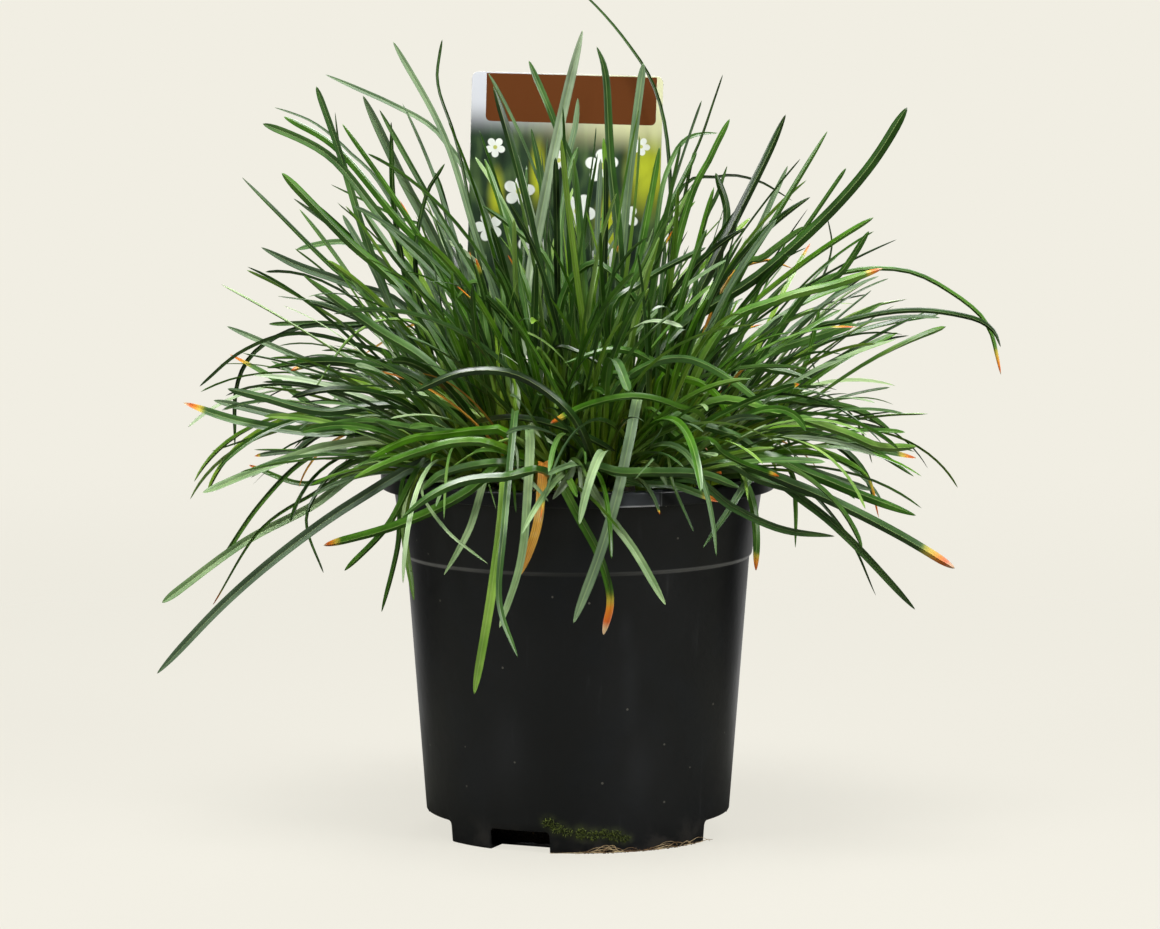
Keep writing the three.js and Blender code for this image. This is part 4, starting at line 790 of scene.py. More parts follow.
def grow(tuft, draw, bends, lengths, sway, widths, spans, length_share=1.0):
    """A blade of a tuft with its heading, lean and droop, its other sizes drawn."""
    heading, lean, droop = bends
    length = mix(*lengths, draw()) * length_share
    sway = (draw() - 0.5) * math.radians(sway)
    width = mix(*widths, draw())
    twist = twist_of(draw, GROWN_TWIST)
    x = tuft.x + math.cos(heading) * CROWN_RADIUS / 3
    y = tuft.y + math.sin(heading) * CROWN_RADIUS / 3
    root = (x, y, tuft.ground + LOWEST_ROOT + ROOT_STEP * 2 * draw())
    return Blade(grown_spine(root, heading, lean, droop, sway, length), width, twist, spans)


def grown_blade(tuft, seed):
    """One try at a blade of its own making for a tuft."""
    draw = draws(seed)
    out = math.hypot(tuft.x, tuft.y) / CLUMP_RADIUS
    heading = math.atan2(tuft.y, tuft.x) + (draw() - 0.5) * 2 * math.pi * mix(1, OUTER_SPREAD, out)
    kind = draw()
    habit = UPRIGHT if kind < UPRIGHT["share"] else ARCHING
    if kind > 1 - DROOPING["share"] and out > DROOPING_FROM:
        habit = DROOPING
    lean = mix(*habit["lean"], draw())
    lean = math.radians(lean + habit["outward"] * out * draw())
    bends = (heading, lean, math.radians(mix(*habit["droop"], draw())))
    widths, share = (DRY_WIDTHS, DRY_LENGTH) if tuft.dry else (GREEN_WIDTHS, 1)
    return grow(tuft, draw, bends, habit["length"], SWAY, widths, GROWN_SPANS, share)


def plant_grown(tufts):
    """One more blade for each tuft in turn, until each has its number or finds no more room."""
    for lap in range(BLADES_PER_TUFT):
        for tuft in tufts:
            if len(tuft.blades) >= (DRY_PER_TUFT if tuft.dry else BLADES_PER_TUFT):
                continue
            for attempt in range(1, TRIES + 1):
                blade = grown_blade(tuft, (tuft.number * BLADES_PER_TUFT + lap) * TRIES + attempt)
                if stays_in_reach(blade.spine) and finds_room(blade, tuft, GROWN_START, CLEARANCE):
                    break


def fine_blade(tuft, kind, seed):
    """One try at a fine blade of a kind."""
    draw = draws(seed)
    bends = [math.radians(mix(*kind[name], draw())) for name in ("heading", "lean", "droop")]
    return grow(tuft, draw, bends, kind["length"], kind["sway"], kind["width"], FINE_SPANS)


def fill_in(tufts, kind):
    """Finer blades of a kind between the larger ones, round after round."""
    near = [tuft for tuft in tufts if abs(tuft.x) < kind["beside"] and tuft.y < kind["back"]]
    for lap in range(kind["rounds"]):
        for tuft in near:
            for attempt in range(1, FILL_TRIES + 1):
                seed = kind["seed"] + (tuft.number * kind["rounds"] + lap) * FILL_TRIES + attempt
                blade = fine_blade(tuft, kind, seed)
                if not (stays_in_reach(blade.spine) and stays_clear(blade.spine)):
                    continue
                if finds_room(blade, tuft, FILL_START, FILL_CLEARANCE):
                    break


def plant_crown(tuft):
    """A crown takes its room first, so that no other tuft's blades cross it."""
    balls = []
    for share in (0, 0.25, 0.5, 0.75, 1):
        up = CROWN_HEIGHT * share
        lean = 1 + up * CROWN_LEAN
        balls.append((tuft.x * lean, tuft.y * lean, tuft.ground + up, CROWN_RADIUS * mix(1, 0.6, share), 0))
    occupy(balls, tuft.number)


def plant_all():
    tufts = [Tuft(number) for number in range(TUFTS)]
    for tuft in tufts:
        plant_crown(tuft)
    green = [tuft for tuft in tufts if not tuft.dry]
    dry = [tuft for tuft in tufts if tuft.dry]
    for row in DRAWN_DRY:
        plant_drawn(row, dry)
    for row in DRAWN:
        plant_drawn(row, green)
    plant_grown(tufts)
    for row in DRAWN_FINE:
        plant_drawn(row, green, FILL_START, FILL_CLEARANCE, FINE_SLIDES)
    for kind in (LYING, CROSSING, STANDING, TANGLED):
        fill_in(green, kind)
    return green, dry


# Nodes, for shapes and for finishes alike

def reckoning(operation, turned=False):
    """What adding, multiplying and so on does to a node's output."""
    return lambda one, other: maths(operation, *((other, one) if turned else (one, other)))


class Value:
    """A node's output, which can be reckoned with as a number is."""

    def __init__(self, socket):
        self.socket = socket
        self.tree = socket.id_data

    def __abs__(self):
        return maths("ABSOLUTE", self)

    __add__ = __radd__ = reckoning("ADD")
    __mul__ = __rmul__ = reckoning("MULTIPLY")
    __sub__ = reckoning("SUBTRACT")
    __rsub__ = reckoning("SUBTRACT", turned=True)
    __truediv__ = reckoning("DIVIDE")
    __gt__ = reckoning("GREATER_THAN")
    __lt__ = reckoning("LESS_THAN")


def feed(node, inputs):
    """Set a node's inputs, or link them to other nodes' outputs."""
    for name, value in inputs.items():
        if isinstance(value, Value):
            value.tree.links.new(value.socket, node.inputs[name])
        else:
            node.inputs[name].default_value = value


def add(tree, kind, inputs, output=0, **settings):
    """One output of a new node in a tree."""
    node = tree.nodes.new(kind)
    for name, setting in settings.items():
        setattr(node, name, setting)
    feed(node, inputs)
    return Value(node.outputs[output])


def made(kind, inputs, output=0, **settings):
    """One output of a new node in the tree that its inputs come from."""
    tree = next(value.tree for value in inputs.values() if isinstance(value, Value))
    return add(tree, kind, inputs, output, **settings)


def maths(operation, *values):
    """The result of one sum, product or other operation."""
    return made("ShaderNodeMath", dict(enumerate(values)), operation=operation)


def axes_of(value):
    """A vector's three parts."""
    node = made("ShaderNodeSeparateXYZ", {"Vector": value}).socket.node
    return [Value(socket) for socket in node.outputs]


def vector_of(x, y, z=0.0):
    return made("ShaderNodeCombineXYZ", {"X": x, "Y": y, "Z": z})


def node_group(name, kind, inputs, build):
    """A node group whose inputs hold a number or name their kind, and whose outputs build makes of them.
    Returns it with the identifiers of its inputs."""
    group = bpy.data.node_groups.new(name, kind)
    keys = {}
    for label, start in inputs.items():
        socket_kind = start if isinstance(start, str) else type(start).__name__.capitalize()
        socket = group.interface.new_socket(label, in_out="INPUT", socket_type="NodeSocket" + socket_kind)
        if start != socket_kind:
            socket.default_value = start
        keys[label] = socket.identifier
    given = group.nodes.new("NodeGroupInput")
    outputs = build(*(Value(given.outputs[label]) for label in inputs))
    for label in outputs:
        socket_kind = "Geometry" if label == "Geometry" else "Float"
        group.interface.new_socket(label, in_out="OUTPUT", socket_type="NodeSocket" + socket_kind)
    feed(group.nodes.new("NodeGroupOutput"), outputs)
    return group, keys


# Shape trees

def shape_tree(name, inputs, build):
    """A shape tree: named inputs, a build of geometry, and the end that every shape tree has."""
    def finished(geometry, material, *sizes):
        plain = made("GeometryNodeRealizeInstances", {"Geometry": build(geometry, *sizes)})
        return {"Geometry": made("GeometryNodeSetMaterial", {"Geometry": plain, "Material": material})}

    inputs = {"Geometry": "Geometry", "Material": "Material", **inputs}
    return node_group(name, "GeometryNodeTree", inputs, finished)


def shaped(mesh, tree_and_keys, material, **sizes):
    """The plain mesh that a shape tree makes of a mesh."""
    tree, keys = tree_and_keys
    raw = placed("raw", mesh)
    modifier = raw.modifiers.new("shape", "NODES")
    modifier.node_group = tree
    modifier[keys["Material"]] = material
    for label, size in sizes.items():
        modifier[keys[label]] = size
    return worked_out(raw)


def named(tree, name, kind="FLOAT"):
    """A value that the mesh carries, read in a shape tree."""
    return add(tree, "GeometryNodeInputNamedAttribute", {"Name": name}, "Attribute", data_type=kind)


def kept(geometry, name, value, kind="FLOAT", domain="POINT"):
    """The geometry with a value stored on it by name."""
    inputs = {"Geometry": geometry, "Name": name, "Value": value}
    return made("GeometryNodeStoreNamedAttribute", inputs, "Geometry", data_type=kind, domain=domain)


def skinned(curves, section):
    """A closed skin along curves, as wide as their points say."""
    width = named(curves.tree, "half_width")
    return made("GeometryNodeCurveToMesh", {
        "Curve": curves, "Profile Curve": section, "Scale": width, "Fill Caps": True,
    })


def blade_shape(lines, points, thickness):
    """Each spine as a closed, pointed blade: a thin section with rounded halves, folded to its keel."""
    tree = lines.tree
    curves = made("GeometryNodeMeshToCurve", {"Mesh": lines})
    edge = named(tree, "edge", "FLOAT_VECTOR")
    turned = made("GeometryNodeSetCurveNormal", {"Curve": curves, "Normal": edge}, mode="FREE")
    circle = made("GeometryNodeCurvePrimitiveCircle", {"Resolution": points, "Radius": 1.0})
    x, y, _ = axes_of(add(tree, "GeometryNodeInputPosition", {}))
    section = kept(kept(circle, "across", x), "side", y)
    section = made("GeometryNodeSetPosition", {"Geometry": section, "Position": vector_of(x, y * thickness)})
    across = abs(named(tree, "across"))
    keel = named(tree, "keel", "FLOAT_VECTOR")
    fold = made("ShaderNodeVectorMath", {0: keel, "Scale": 1.0 - across}, operation="SCALE")
    folded = made("GeometryNodeSetPosition", {"Geometry": skinned(turned, section), "Offset": fold})
    smooth = made("GeometryNodeSetShadeSmooth", {"Geometry": folded})
    return kept(smooth, "sharp_edge", abs(across - 0.5) > 0.49, "BOOLEAN", "EDGE")


def thread_shape(lines, sides):
    """Each line as a closed thread."""
    curves = made("GeometryNodeMeshToCurve", {"Mesh": lines})
    circle = made("GeometryNodeCurvePrimitiveCircle", {"Resolution": sides, "Radius": 1.0})
    return made("GeometryNodeSetShadeSmooth", {"Geometry": skinned(curves, circle)})


def scatter_tree(name, seed, body, **body_sizes):
    """Scatters copies of a small body over a mesh, standing on it but tilted at random."""
    def scatter_shape(ground, density, smallest, largest, tilt, seed):
        inputs = {"Mesh": ground, "Density": density, "Seed": seed}
        spread = made("GeometryNodeDistributePointsOnFaces", inputs).socket.node
        size = made("FunctionNodeRandomValue", {2: smallest, 3: largest, "Seed": seed}, 1)
        back = tilt * -1.0
        inputs = {0: vector_of(back, back, back), 1: vector_of(tilt, tilt, tilt), "Seed": seed}
        turn = made("FunctionNodeRandomValue", inputs, data_type="FLOAT_VECTOR")
        turn = made("FunctionNodeRotateRotation", {
            "Rotation": Value(spread.outputs["Rotation"]), "Rotate By": turn,
        })
        return made("GeometryNodeInstanceOnPoints", {
            "Points": Value(spread.outputs["Points"]), "Instance": add(ground.tree, body, body_sizes, "Mesh"),
            "Rotation": turn, "Scale": size,
        })

    inputs = {"Density": 1e6, "Smallest": 0.5, "Largest": 1.0, "Tilt": 1.0, "Seed": seed}
    return shape_tree(name, inputs, scatter_shape)


# Lines for the blades and the roots

def blade_lines(blades):
    """Some blades' spines as one mesh of lines, with what the shape and the finish need at each point."""
    points, edges = [], []
    vectors = {"edge": [], "keel": []}
    numbers = {name: [] for name in ("half_width", "share", "length", "tone", "bloom", "ripe", "fade")}
    for blade in blades:
        shares = 1 - (1 - np.arange(blade.spans + 1) / blade.spans) ** TIP_CROWDING
        spine = np.array(blade.spine)
        level = spine[-1] - spine[0]
        side = unit(np.array((level[1], -level[0], 0.0)))
        sides = []
        for point, way in zip(spine, ways_along(spine)):
            across = np.cross(unit(np.array(EYE) - point), way)
            side = side + across * blade.facing * np.sign(side @ across)
            side = unit(side - way * (side @ way))
            sides.append(side)
        finer = read_off(spine, shares)
        crosswise = read_off(np.array(sides), shares)
        edges += [(len(points) + k, len(points) + k + 1) for k in range(blade.spans)]
        for s, point, way, across in zip(shares, finer, ways_along(finer), crosswise):
            across = unit(across - way * (across @ way))
            angle = mix(*blade.twist, s)
            edge = across * math.cos(angle) + np.cross(way, across) * math.sin(angle)
            points.append(point * MM)
            vectors["edge"].append(edge)
            vectors["keel"].append(np.cross(way, edge) * blade.fold_at(s) * MM)
            here = {"half_width": blade.width_at(s) / 2 * MM, "share": s, "length": blade.length * MM}
            for name, number in (here | blade.finish).items():
                numbers[name].append(number)
    mesh = mesh_of("lines", points, edges=edges)
    for name, rows in numbers.items():
        carry(mesh, name, rows)
    for name, rows in vectors.items():
        carry(mesh, name, rows, "FLOAT_VECTOR")
    return mesh


def ways_along(points):
    """The direction of a curve at each of its points."""
    ways = np.gradient(points, axis=0)
    return ways / np.linalg.norm(ways, axis=1)[:, None]


def round_pot(radius, degrees, z):
    angle = math.radians(degrees)
    return radius * math.sin(angle), -radius * math.cos(angle), z


def root_lines():
    """Fine roots that come out from under the pot's foot, creep along it and curl."""
    points, edges, widths = [], [], []
    for i in range(ROOTS):
        draw = draws(ROOT_SEED + i)
        start = mix(*FOOT_EARTH, draw() ** 1.3)
        swing = math.degrees(mix(*ROOT_LENGTHS, draw()) / FOOT_RADIUS) * (1 if draw() < 0.5 else -1)
        out = mix(0.6, 2.6, draw())
        rise = mix(0.8, 3.2, draw()) if draw() < 0.4 else 0.2
        curl = mix(3, 9, draw())
        phase = 6 * draw()
        width = mix(*ROOT_WIDTHS, draw())
        edges += [(len(points) + k, len(points) + k + 1) for k in range(ROOT_STEPS)]
        for k in range(ROOT_STEPS + 1):
            u = k / ROOT_STEPS
            wave = math.sin(curl * u + phase)
            z = 0.45 + rise * math.sin(math.pi * u) + 0.3 * max(0, wave)
            radius = FOOT_RADIUS - 0.3 + 0.9 * min(1, 5 * u) + out * u * mix(1, abs(wave), 0.5)
            points.append(Vector(round_pot(radius, start + swing * u + 0.5 * wave, z)) * MM)
            widths.append(width / 2 * mix(1, 0.4, u) * MM)
    mesh = mesh_of("root_lines", points, edges=edges)
    carry(mesh, "half_width", widths)
    return mesh


# Turned, moulded and flat shapes

def skin_of(name, rings):
    """A closed mesh over a row of rings of points. The first and last ring may be one point, a pole."""
    points = [tuple(c * MM for c in point) for ring in rings for point in ring]
    faces = []
    start = 0
    for here, ahead in zip(rings, rings[1:]):
        above = start + len(here)
        count = max(len(here), len(ahead))
        for i in range(count):
            j = (i + 1) % count
            low = [start] if len(here) == 1 else [start + i, start + j]
            high = [above] if len(ahead) == 1 else [above + j, above + i]
            faces.append(low + high)
        start = above
    ends = [range(start, start + len(rings[-1])), reversed(range(len(rings[0])))]
    faces += [end for end in map(list, ends) if len(end) > 1]
    return tidied(mesh_of(name, points, faces))


def tidied(mesh, sharp=math.radians(35)):
    """The mesh with its faces outwards and smooth, apart from its sharp edges."""
    form = bmesh.new()
    form.from_mesh(mesh)
    bmesh.ops.remove_doubles(form, verts=form.verts, dist=0.002 * MM)
    bmesh.ops.recalc_face_normals(form, faces=form.faces)
    for face in form.faces:
        face.smooth = True
    for edge in form.edges:
        edge.smooth = len(edge.link_faces) == 2 and edge.calc_face_angle(0) < sharp
    form.to_mesh(mesh)
    form.free()
    return mesh


def rounded(corners, step=6.0, parts=4):
    """An outline's points, from corners of (r, z, rounding), with long straight stretches split up."""
    outline = []
    for i, (r, z, size) in enumerate(corners):
        here = Vector((r, z))
        arc = [here]
        if size:
            start, end = (here + (Vector(corners[j][:2]) - here).normalized() * size for j in (i - 1, i + 1))
            shares = [k / parts for k in range(parts + 1)]
            arc = [start * (1 - u) ** 2 + here * 2 * u * (1 - u) + end * u * u for u in shares]
        if outline:
            gap = arc[0] - outline[-1]
            count = math.ceil(gap.length / step)
            if gap.length > 3:
                shares = [0.5 / gap.length, *(k / count for k in range(1, count)), 1 - 0.5 / gap.length]
                outline += [outline[-1] + gap * share for share in shares]
        outline += arc
    return outline


def turned_rings(outline, sides):
    """Rings round the vertical axis, starting at the front. A point on the axis is a pole."""
    angles = [2 * math.pi * i / sides for i in range(sides)]
    return [
        [(r * math.sin(a), -r * math.cos(a), z) for a in (angles if r > 0.001 else [0])]
        for r, z in outline
    ]


def pot_inside(height):
    """The inner radius of the pot's wall at a height."""
    r0, z0, r1, z1 = LEDGE_RADIUS, LEDGE_TOP, NECK_RADIUS, RIM_UNDER
    if height < LEDGE_TOP:
        r0, z0, r1, z1 = FOOT_RADIUS, 0, BODY_RADIUS, LEDGE_UNDER
    return r0 + (r1 - r0) * (height - z0) / (z1 - z0) - WALL


def drain_cutter():
    """A block for each drain hole, with its upper corners rounded, all in one mesh. On each side of the pot
    three of them run together into one notch."""
    half = DRAIN_WIDTH / 2
    outline = rounded([
        (-half, -DRAIN_HEIGHT, 0),
        (-half, DRAIN_HEIGHT, DRAIN_ROUND),
        (half, DRAIN_HEIGHT, DRAIN_ROUND),
        (half, -DRAIN_HEIGHT, 0),
    ], step=40)
    points, faces = [], []
    count = len(outline)
    for azimuth in DRAIN_AZIMUTHS + SIDE_NOTCHES:
        turn = Matrix.Rotation(math.radians(azimuth), 4, "Z")
        first = len(points)
        for reach in (DRAIN_INNER, BODY_RADIUS + 4):
            points += [turn @ Vector((x, -reach, z)) * MM for x, z in outline]
        faces.append([first + i for i in range(count)])
        faces.append([first + count + i for i in reversed(range(count))])
        for i in range(count):
            j = (i + 1) % count
            faces.append([first + j, first + i, first + count + i, first + count + j])
    return tidied(mesh_of("drain_cutter", points, faces))


def pot_mesh():
    """The pot's wall turned as one skin, its drain holes cut, and their edges softened."""
    outline = rounded([
        (0, FLOOR_RISE, 0),
        (FOOT_RING_INNER - FLOOR_RISE, FLOOR_RISE, 1),
        (FOOT_RING_INNER, 0, 1),
        (FOOT_RADIUS, 0, FOOT_ROUND),
        (BODY_RADIUS, LEDGE_UNDER, 0.3),
        (LEDGE_RADIUS, LEDGE_TOP, 0.4),
        (NECK_RADIUS, RIM_UNDER, 0),
        (NECK_RADIUS, RIM_TOP - RIM_THICK, 0.6),
        (RIM_RADIUS - LIP, RIM_TOP - RIM_THICK, 0.5),
        (RIM_RADIUS - LIP, RIM_UNDER, 0.5),
        (RIM_RADIUS, RIM_UNDER, 0.5),
        (RIM_RADIUS, RIM_TOP, RIM_ROUND),
        (pot_inside(RIM_UNDER), RIM_TOP, RIM_ROUND),
        (pot_inside(LEDGE_TOP), LEDGE_TOP, 0.4),
        (pot_inside(LEDGE_UNDER), LEDGE_UNDER, 0.4),
        (pot_inside(WALL), WALL, 0.6),
        (FOOT_RING_INNER + WALL / 2, WALL, 0.5),
        (FOOT_RING_INNER + WALL / 2 - FLOOR_RISE, FLOOR, 0.5),
        (0, FLOOR, 0),
    ])
    wall = placed("wall", skin_of("wall", turned_rings(outline, POT_SIDES)))
    cutter = placed("cutter", drain_cutter())
    cut = wall.modifiers.new("drains", "BOOLEAN")
    cut.operation = "DIFFERENCE"
    cut.solver = "EXACT"
    cut.use_self = True
    cut.object = cutter
    soft = wall.modifiers.new("edges", "BEVEL")
    soft.width = EDGE_ROUND * MM
    soft.segments = 2
    soft.limit_method = "ANGLE"
    soft.angle_limit = math.radians(50)
    mesh = worked_out(wall)
    bpy.data.objects.remove(cutter)
    return tidied(mesh)


def soil_mesh():
    """The root ball: the pot's inside, drawn back from the drain holes, with a lumpy, crumbly top."""
    rise = FOOT_RING_INNER + WALL / 2 + GAP
    rings = turned_rings([
        (0, FLOOR + GAP),
        (rise - FLOOR_RISE, FLOOR + GAP),
        (rise, WALL + GAP),
        (rise + 1.5, DRAIN_HEIGHT),
        (pot_inside(DRAIN_HEIGHT * 1.8) - GAP, DRAIN_HEIGHT * 1.8),
        (pot_inside(LEDGE_UNDER) - GAP, LEDGE_UNDER),
    ], SOIL_SIDES)
    flat = turned_rings([(SOIL_RADIUS * (1 - k / SOIL_RINGS), 0) for k in range(SOIL_RINGS)], SOIL_SIDES)
    rings += [[(x, y, crumbly_top(x, y)) for x, y, _ in ring] for ring in flat]
    rings.append([(0, 0, soil_top(0, 0))])
    return skin_of("soil_plug", rings)


def label_outline():
    """The card and its stake, clockwise from the upper right, as (across, down) from the card's top."""
    half = CARD_WIDTH / 2 - CARD_CORNER
    low = CARD_HEIGHT

    def corner(x, z, start):
        turns = [start + math.radians(15 * k) for k in range(7)]
        return [(x + CARD_CORNER * math.sin(a), z - CARD_CORNER * math.cos(a)) for a in turns]

    stake = [
        (STAKE_WIDTH / 2, low),
        (STAKE_NECK / 2, low + STAKE_LENGTH / 2),
        (STAKE_END / 2, low + STAKE_LENGTH - STAKE_POINT),
    ]
    return [
        *corner(half, CARD_CORNER, 0),
        *corner(half, low - CARD_CORNER, math.pi / 2),
        *stake,
        (0, low + STAKE_LENGTH),
        *((-x, z) for x, z in reversed(stake)),
        *corner(-half, low - CARD_CORNER, math.pi),
        *corner(-half, CARD_CORNER, 1.5 * math.pi),
    ]


def label_mesh():
    """The label, its edges slightly rounded. It carries where each point is on the card, for the print."""
    form = bmesh.new()
    half = CARD_THICKNESS / 2
    front = form.faces.new([form.verts.new((x * MM, -half * MM, -z * MM)) for x, z in label_outline()])
    pulled = bmesh.ops.extrude_face_region(form, geom=[front])["geom"]
    back = [v for v in pulled if isinstance(v, bmesh.types.BMVert)]
    bmesh.ops.translate(form, verts=back, vec=(0, CARD_THICKNESS * MM, 0))
    rims = [e for e in form.edges if abs(e.verts[0].co.y - e.verts[1].co.y) < half * MM]
    bmesh.ops.bevel(form, geom=rims, offset=CARD_ROUND * MM, segments=2, affect="EDGES")
    mesh = bpy.data.meshes.new("label_card")
    form.to_mesh(mesh)
    form.free()
    tidied(mesh)
    carry(mesh, "card", [v.co for v in mesh.vertices], "FLOAT_VECTOR")
    place = Matrix.Translation(Vector((CARD_X, CARD_Y, CARD_TOP)) * MM)
    mesh.transform(place @ Matrix.Rotation(CARD_TILT, 4, "Y"))
    return mesh


# The grounds that moss and crumbs lie on

def ground_mesh(name, patches):
    """Patches as one mesh, each a fan of faces round its first point."""
    points, faces = [], []
    for patch in patches:
        first = len(points)
        points += [Vector(point) * MM for point in patch]
        rim = len(patch) - 1
        faces += [(first, first + 1 + i, first + 1 + (i + 1) % rim) for i in range(rim)]
    return mesh_of(name, points, faces)


def on_wall(x, z):
    """A point on the front of the pot's wall, under its ledge."""
    radius = mix(FOOT_RADIUS, BODY_RADIUS, z / LEDGE_UNDER)
    return x, -math.sqrt(radius ** 2 - x ** 2), z


def moss_ground():
    """The places on the pot's foot that the moss grows on."""
    turns = [2 * math.pi * i / 12 for i in range(12)]
    return ground_mesh("moss_ground", [
        [on_wall(x, z), *(on_wall(x + wide * math.cos(a), z + tall * math.sin(a)) for a in turns)]
        for x, z, wide, tall in MOSS
    ])


def foot_ground():
    """The strip along the pot's foot where earth has come out."""
    patches = []
    for k in range(*FOOT_EARTH, 2):
        high = 0.9 + 0.7 * math.sin(0.4 * k) ** 2
        corners = [(k, 0.2), (k + 2, 0.2), (k + 2, high), (k, high)]
        middle = round_pot(FOOT_RADIUS + 0.5, k + 1, high / 2)
        patches.append([middle, *(round_pot(FOOT_RADIUS + 0.3, degrees, z) for degrees, z in corners)])
    return ground_mesh("foot_ground", patches)


def top_ground():
    """The soil's top inside the pot's rim."""
    patches = []
    step = 8
    for x in range(-72, 72, step):
        for y in range(-72, 72, step):
            if math.hypot(x + step / 2, y + step / 2) < SOIL_RADIUS - step:
                middle = (x + step / 2, y + step / 2)
                corners = [(x, y), (x + step, y), (x + step, y + step), (x, y + step)]
                patches.append([(a, b, crumbly_top(a, b)) for a, b in [middle, *corners]])
    return ground_mesh("top_ground", patches)


# Shared effects of the finishes

def colour(red, green, blue):
    """A colour as the eye sees it, 0 to 255, as the linear colour that a shader takes."""
    shares = (c / 255 for c in (red, green, blue))
    return (*(c / 12.92 if c <= 0.04045 else ((c + 0.055) / 1.055) ** 2.4 for c in shares), 1.0)


def blend(factor, first, second, mode="MIX"):
    """Two colours mixed by a mask. Each is a node's output or has its parts from 0 to 255."""
    first, second = (shade if isinstance(shade, Value) else colour(*shade) for shade in (first, second))
    return made("ShaderNodeMix", {0: factor, 6: first, 7: second}, 2, data_type="RGBA", blend_type=mode)


def between(value, low, high):
    """A soft mask: 0 where the value is below low, 1 where it is above high."""
    inputs = {"Value": value, "From Min": low, "From Max": high}
    return made("ShaderNodeMapRange", inputs, interpolation_type="SMOOTHSTEP")


def shades(value, stops):
    """Colours along a scale from 0 to 1."""
    result = made("ShaderNodeValToRGB", {"Fac": value})
    scale = result.socket.node.color_ramp.elements
    while len(scale) < len(stops):
        scale.new(1.0)
    for element, (position, shade) in zip(scale, stops):
        element.position = position
        element.color = colour(*shade)
    return result


def grey(value):
    return made("ShaderNodeCombineColor", {0: value, 1: value, 2: value})


def vectors(operation, one, other=None, output=0):
    inputs = {0: one} if other is None else {0: one, 1: other}
    return made("ShaderNodeVectorMath", inputs, output, operation=operation)


def length_of(value):
    return vectors("LENGTH", value, output="Value")


def mottle(place, scale, detail, low, high):
    """Soft irregular patches, as a mask."""
    cloud = made("ShaderNodeTexNoise", {"Vector": place, "Scale": scale, "Detail": detail})
    return {"Mask": between(cloud, low, high)}


def leaf_lines(across, lines, middle):
    """The fine lines along a blade, as a height and a mask, and its middle line as a mask."""
    wave = maths("COSINE", across * lines * math.pi)
    return {"Line": wave * 0.5 + 0.5, "Middle line": 1.0 - between(abs(across), middle, middle * 2.0)}


def specks(place, scale, size, rarity):
    """Scattered small specks of dust, as a mask."""
    cells = made("ShaderNodeTexVoronoi", {"Vector": place, "Scale": scale}).socket.node
    pick = made("ShaderNodeSeparateColor", {"Color": Value(cells.outputs["Color"])})
    return {"Mask": (pick > rarity) * (Value(cells.outputs["Distance"]) < size)}


def spot(place, centre, size):
    """One soft round or oval spot, as a mask."""
    away = vectors("SUBTRACT", place, centre)
    return {"Mask": between(length_of(vectors("DIVIDE", away, size)), 1.0, 0.0)}


def blossom(place, centre, radius, turn):
    """One simple five-petalled blossom seen from the front, as masks for its petals and its heart."""
    away = vectors("SUBTRACT", place, centre)
    x, y, _ = axes_of(away)
    lobes = abs(maths("COSINE", (maths("ARCTAN2", y, x) + turn) * 2.5))
    lobes = maths("POWER", lobes, 0.6) * 0.55 + 0.45
    share = length_of(away) / radius
    return {"Petals": between(lobes - share, -0.04, 0.06), "Heart": between(share, 0.24, 0.16)}


def effect(build, **inputs):
    """A shader group that any finish can use."""
    return node_group(build.__name__, "ShaderNodeTree", inputs, build)[0]


MOTTLE = effect(mottle, Place="Vector", Scale=100.0, Detail=3.0, Low=0.4, High=0.6)
LINES = effect(leaf_lines, Across=0.0, Lines=9.0, Middle=0.08)
SPECKS = effect(specks, Place="Vector", Scale=300.0, Size=0.12, Rarity=0.9)
SPOT = effect(spot, Place="Vector", Centre="Vector", Size="Vector")
BLOSSOM = effect(blossom, Place="Vector", Centre="Vector", Radius=0.005, Turn=0.0)


def using(group, output=0, **inputs):
    """A shared effect placed in a finish with its own values."""
    return made("ShaderNodeGroup", inputs, output, node_tree=group)


def mottled(place, scale, low=0.4, high=0.6):
    return using(MOTTLE, Place=place, Scale=scale, Low=low, High=high)


def spot_at(place, centre, size):
    """A soft spot round a point, both in millimetres."""
    return using(SPOT, Place=place, Centre=Vector(centre) * MM, Size=Vector(size) * MM)


def lined(tree, lines, middle):
    """The fine lines of a blade and its middle line."""
    across = attribute(tree, "across")
    node = using(LINES, Across=across, Lines=lines, Middle=middle).socket.node
    return [Value(socket) for socket in node.outputs]


# Finishes

def finish(name):
    """A new material and its node tree."""
    material = bpy.data.materials.new(name)
    material.use_nodes = True
    return material, material.node_tree


def surface(material, shade, rough, relief, strength, depth):
    """Give a material its colour, its roughness and its fine relief."""
    bump = made("ShaderNodeBump", {"Strength": strength, "Distance": depth * MM, "Height": relief})
    shader = material.node_tree.nodes["Principled BSDF"]
    feed(shader, {"Base Color": shade, "Roughness": rough, "Normal": bump})
    return material


def attribute(tree, name, output="Fac"):
    """A value that the mesh carries, read in a finish."""
    return add(tree, "ShaderNodeAttribute", {}, output, attribute_name=name)


def object_place(tree):
    """Where a point is on the plant, in metres."""
    return add(tree, "ShaderNodeTexCoord", {}, "Object")


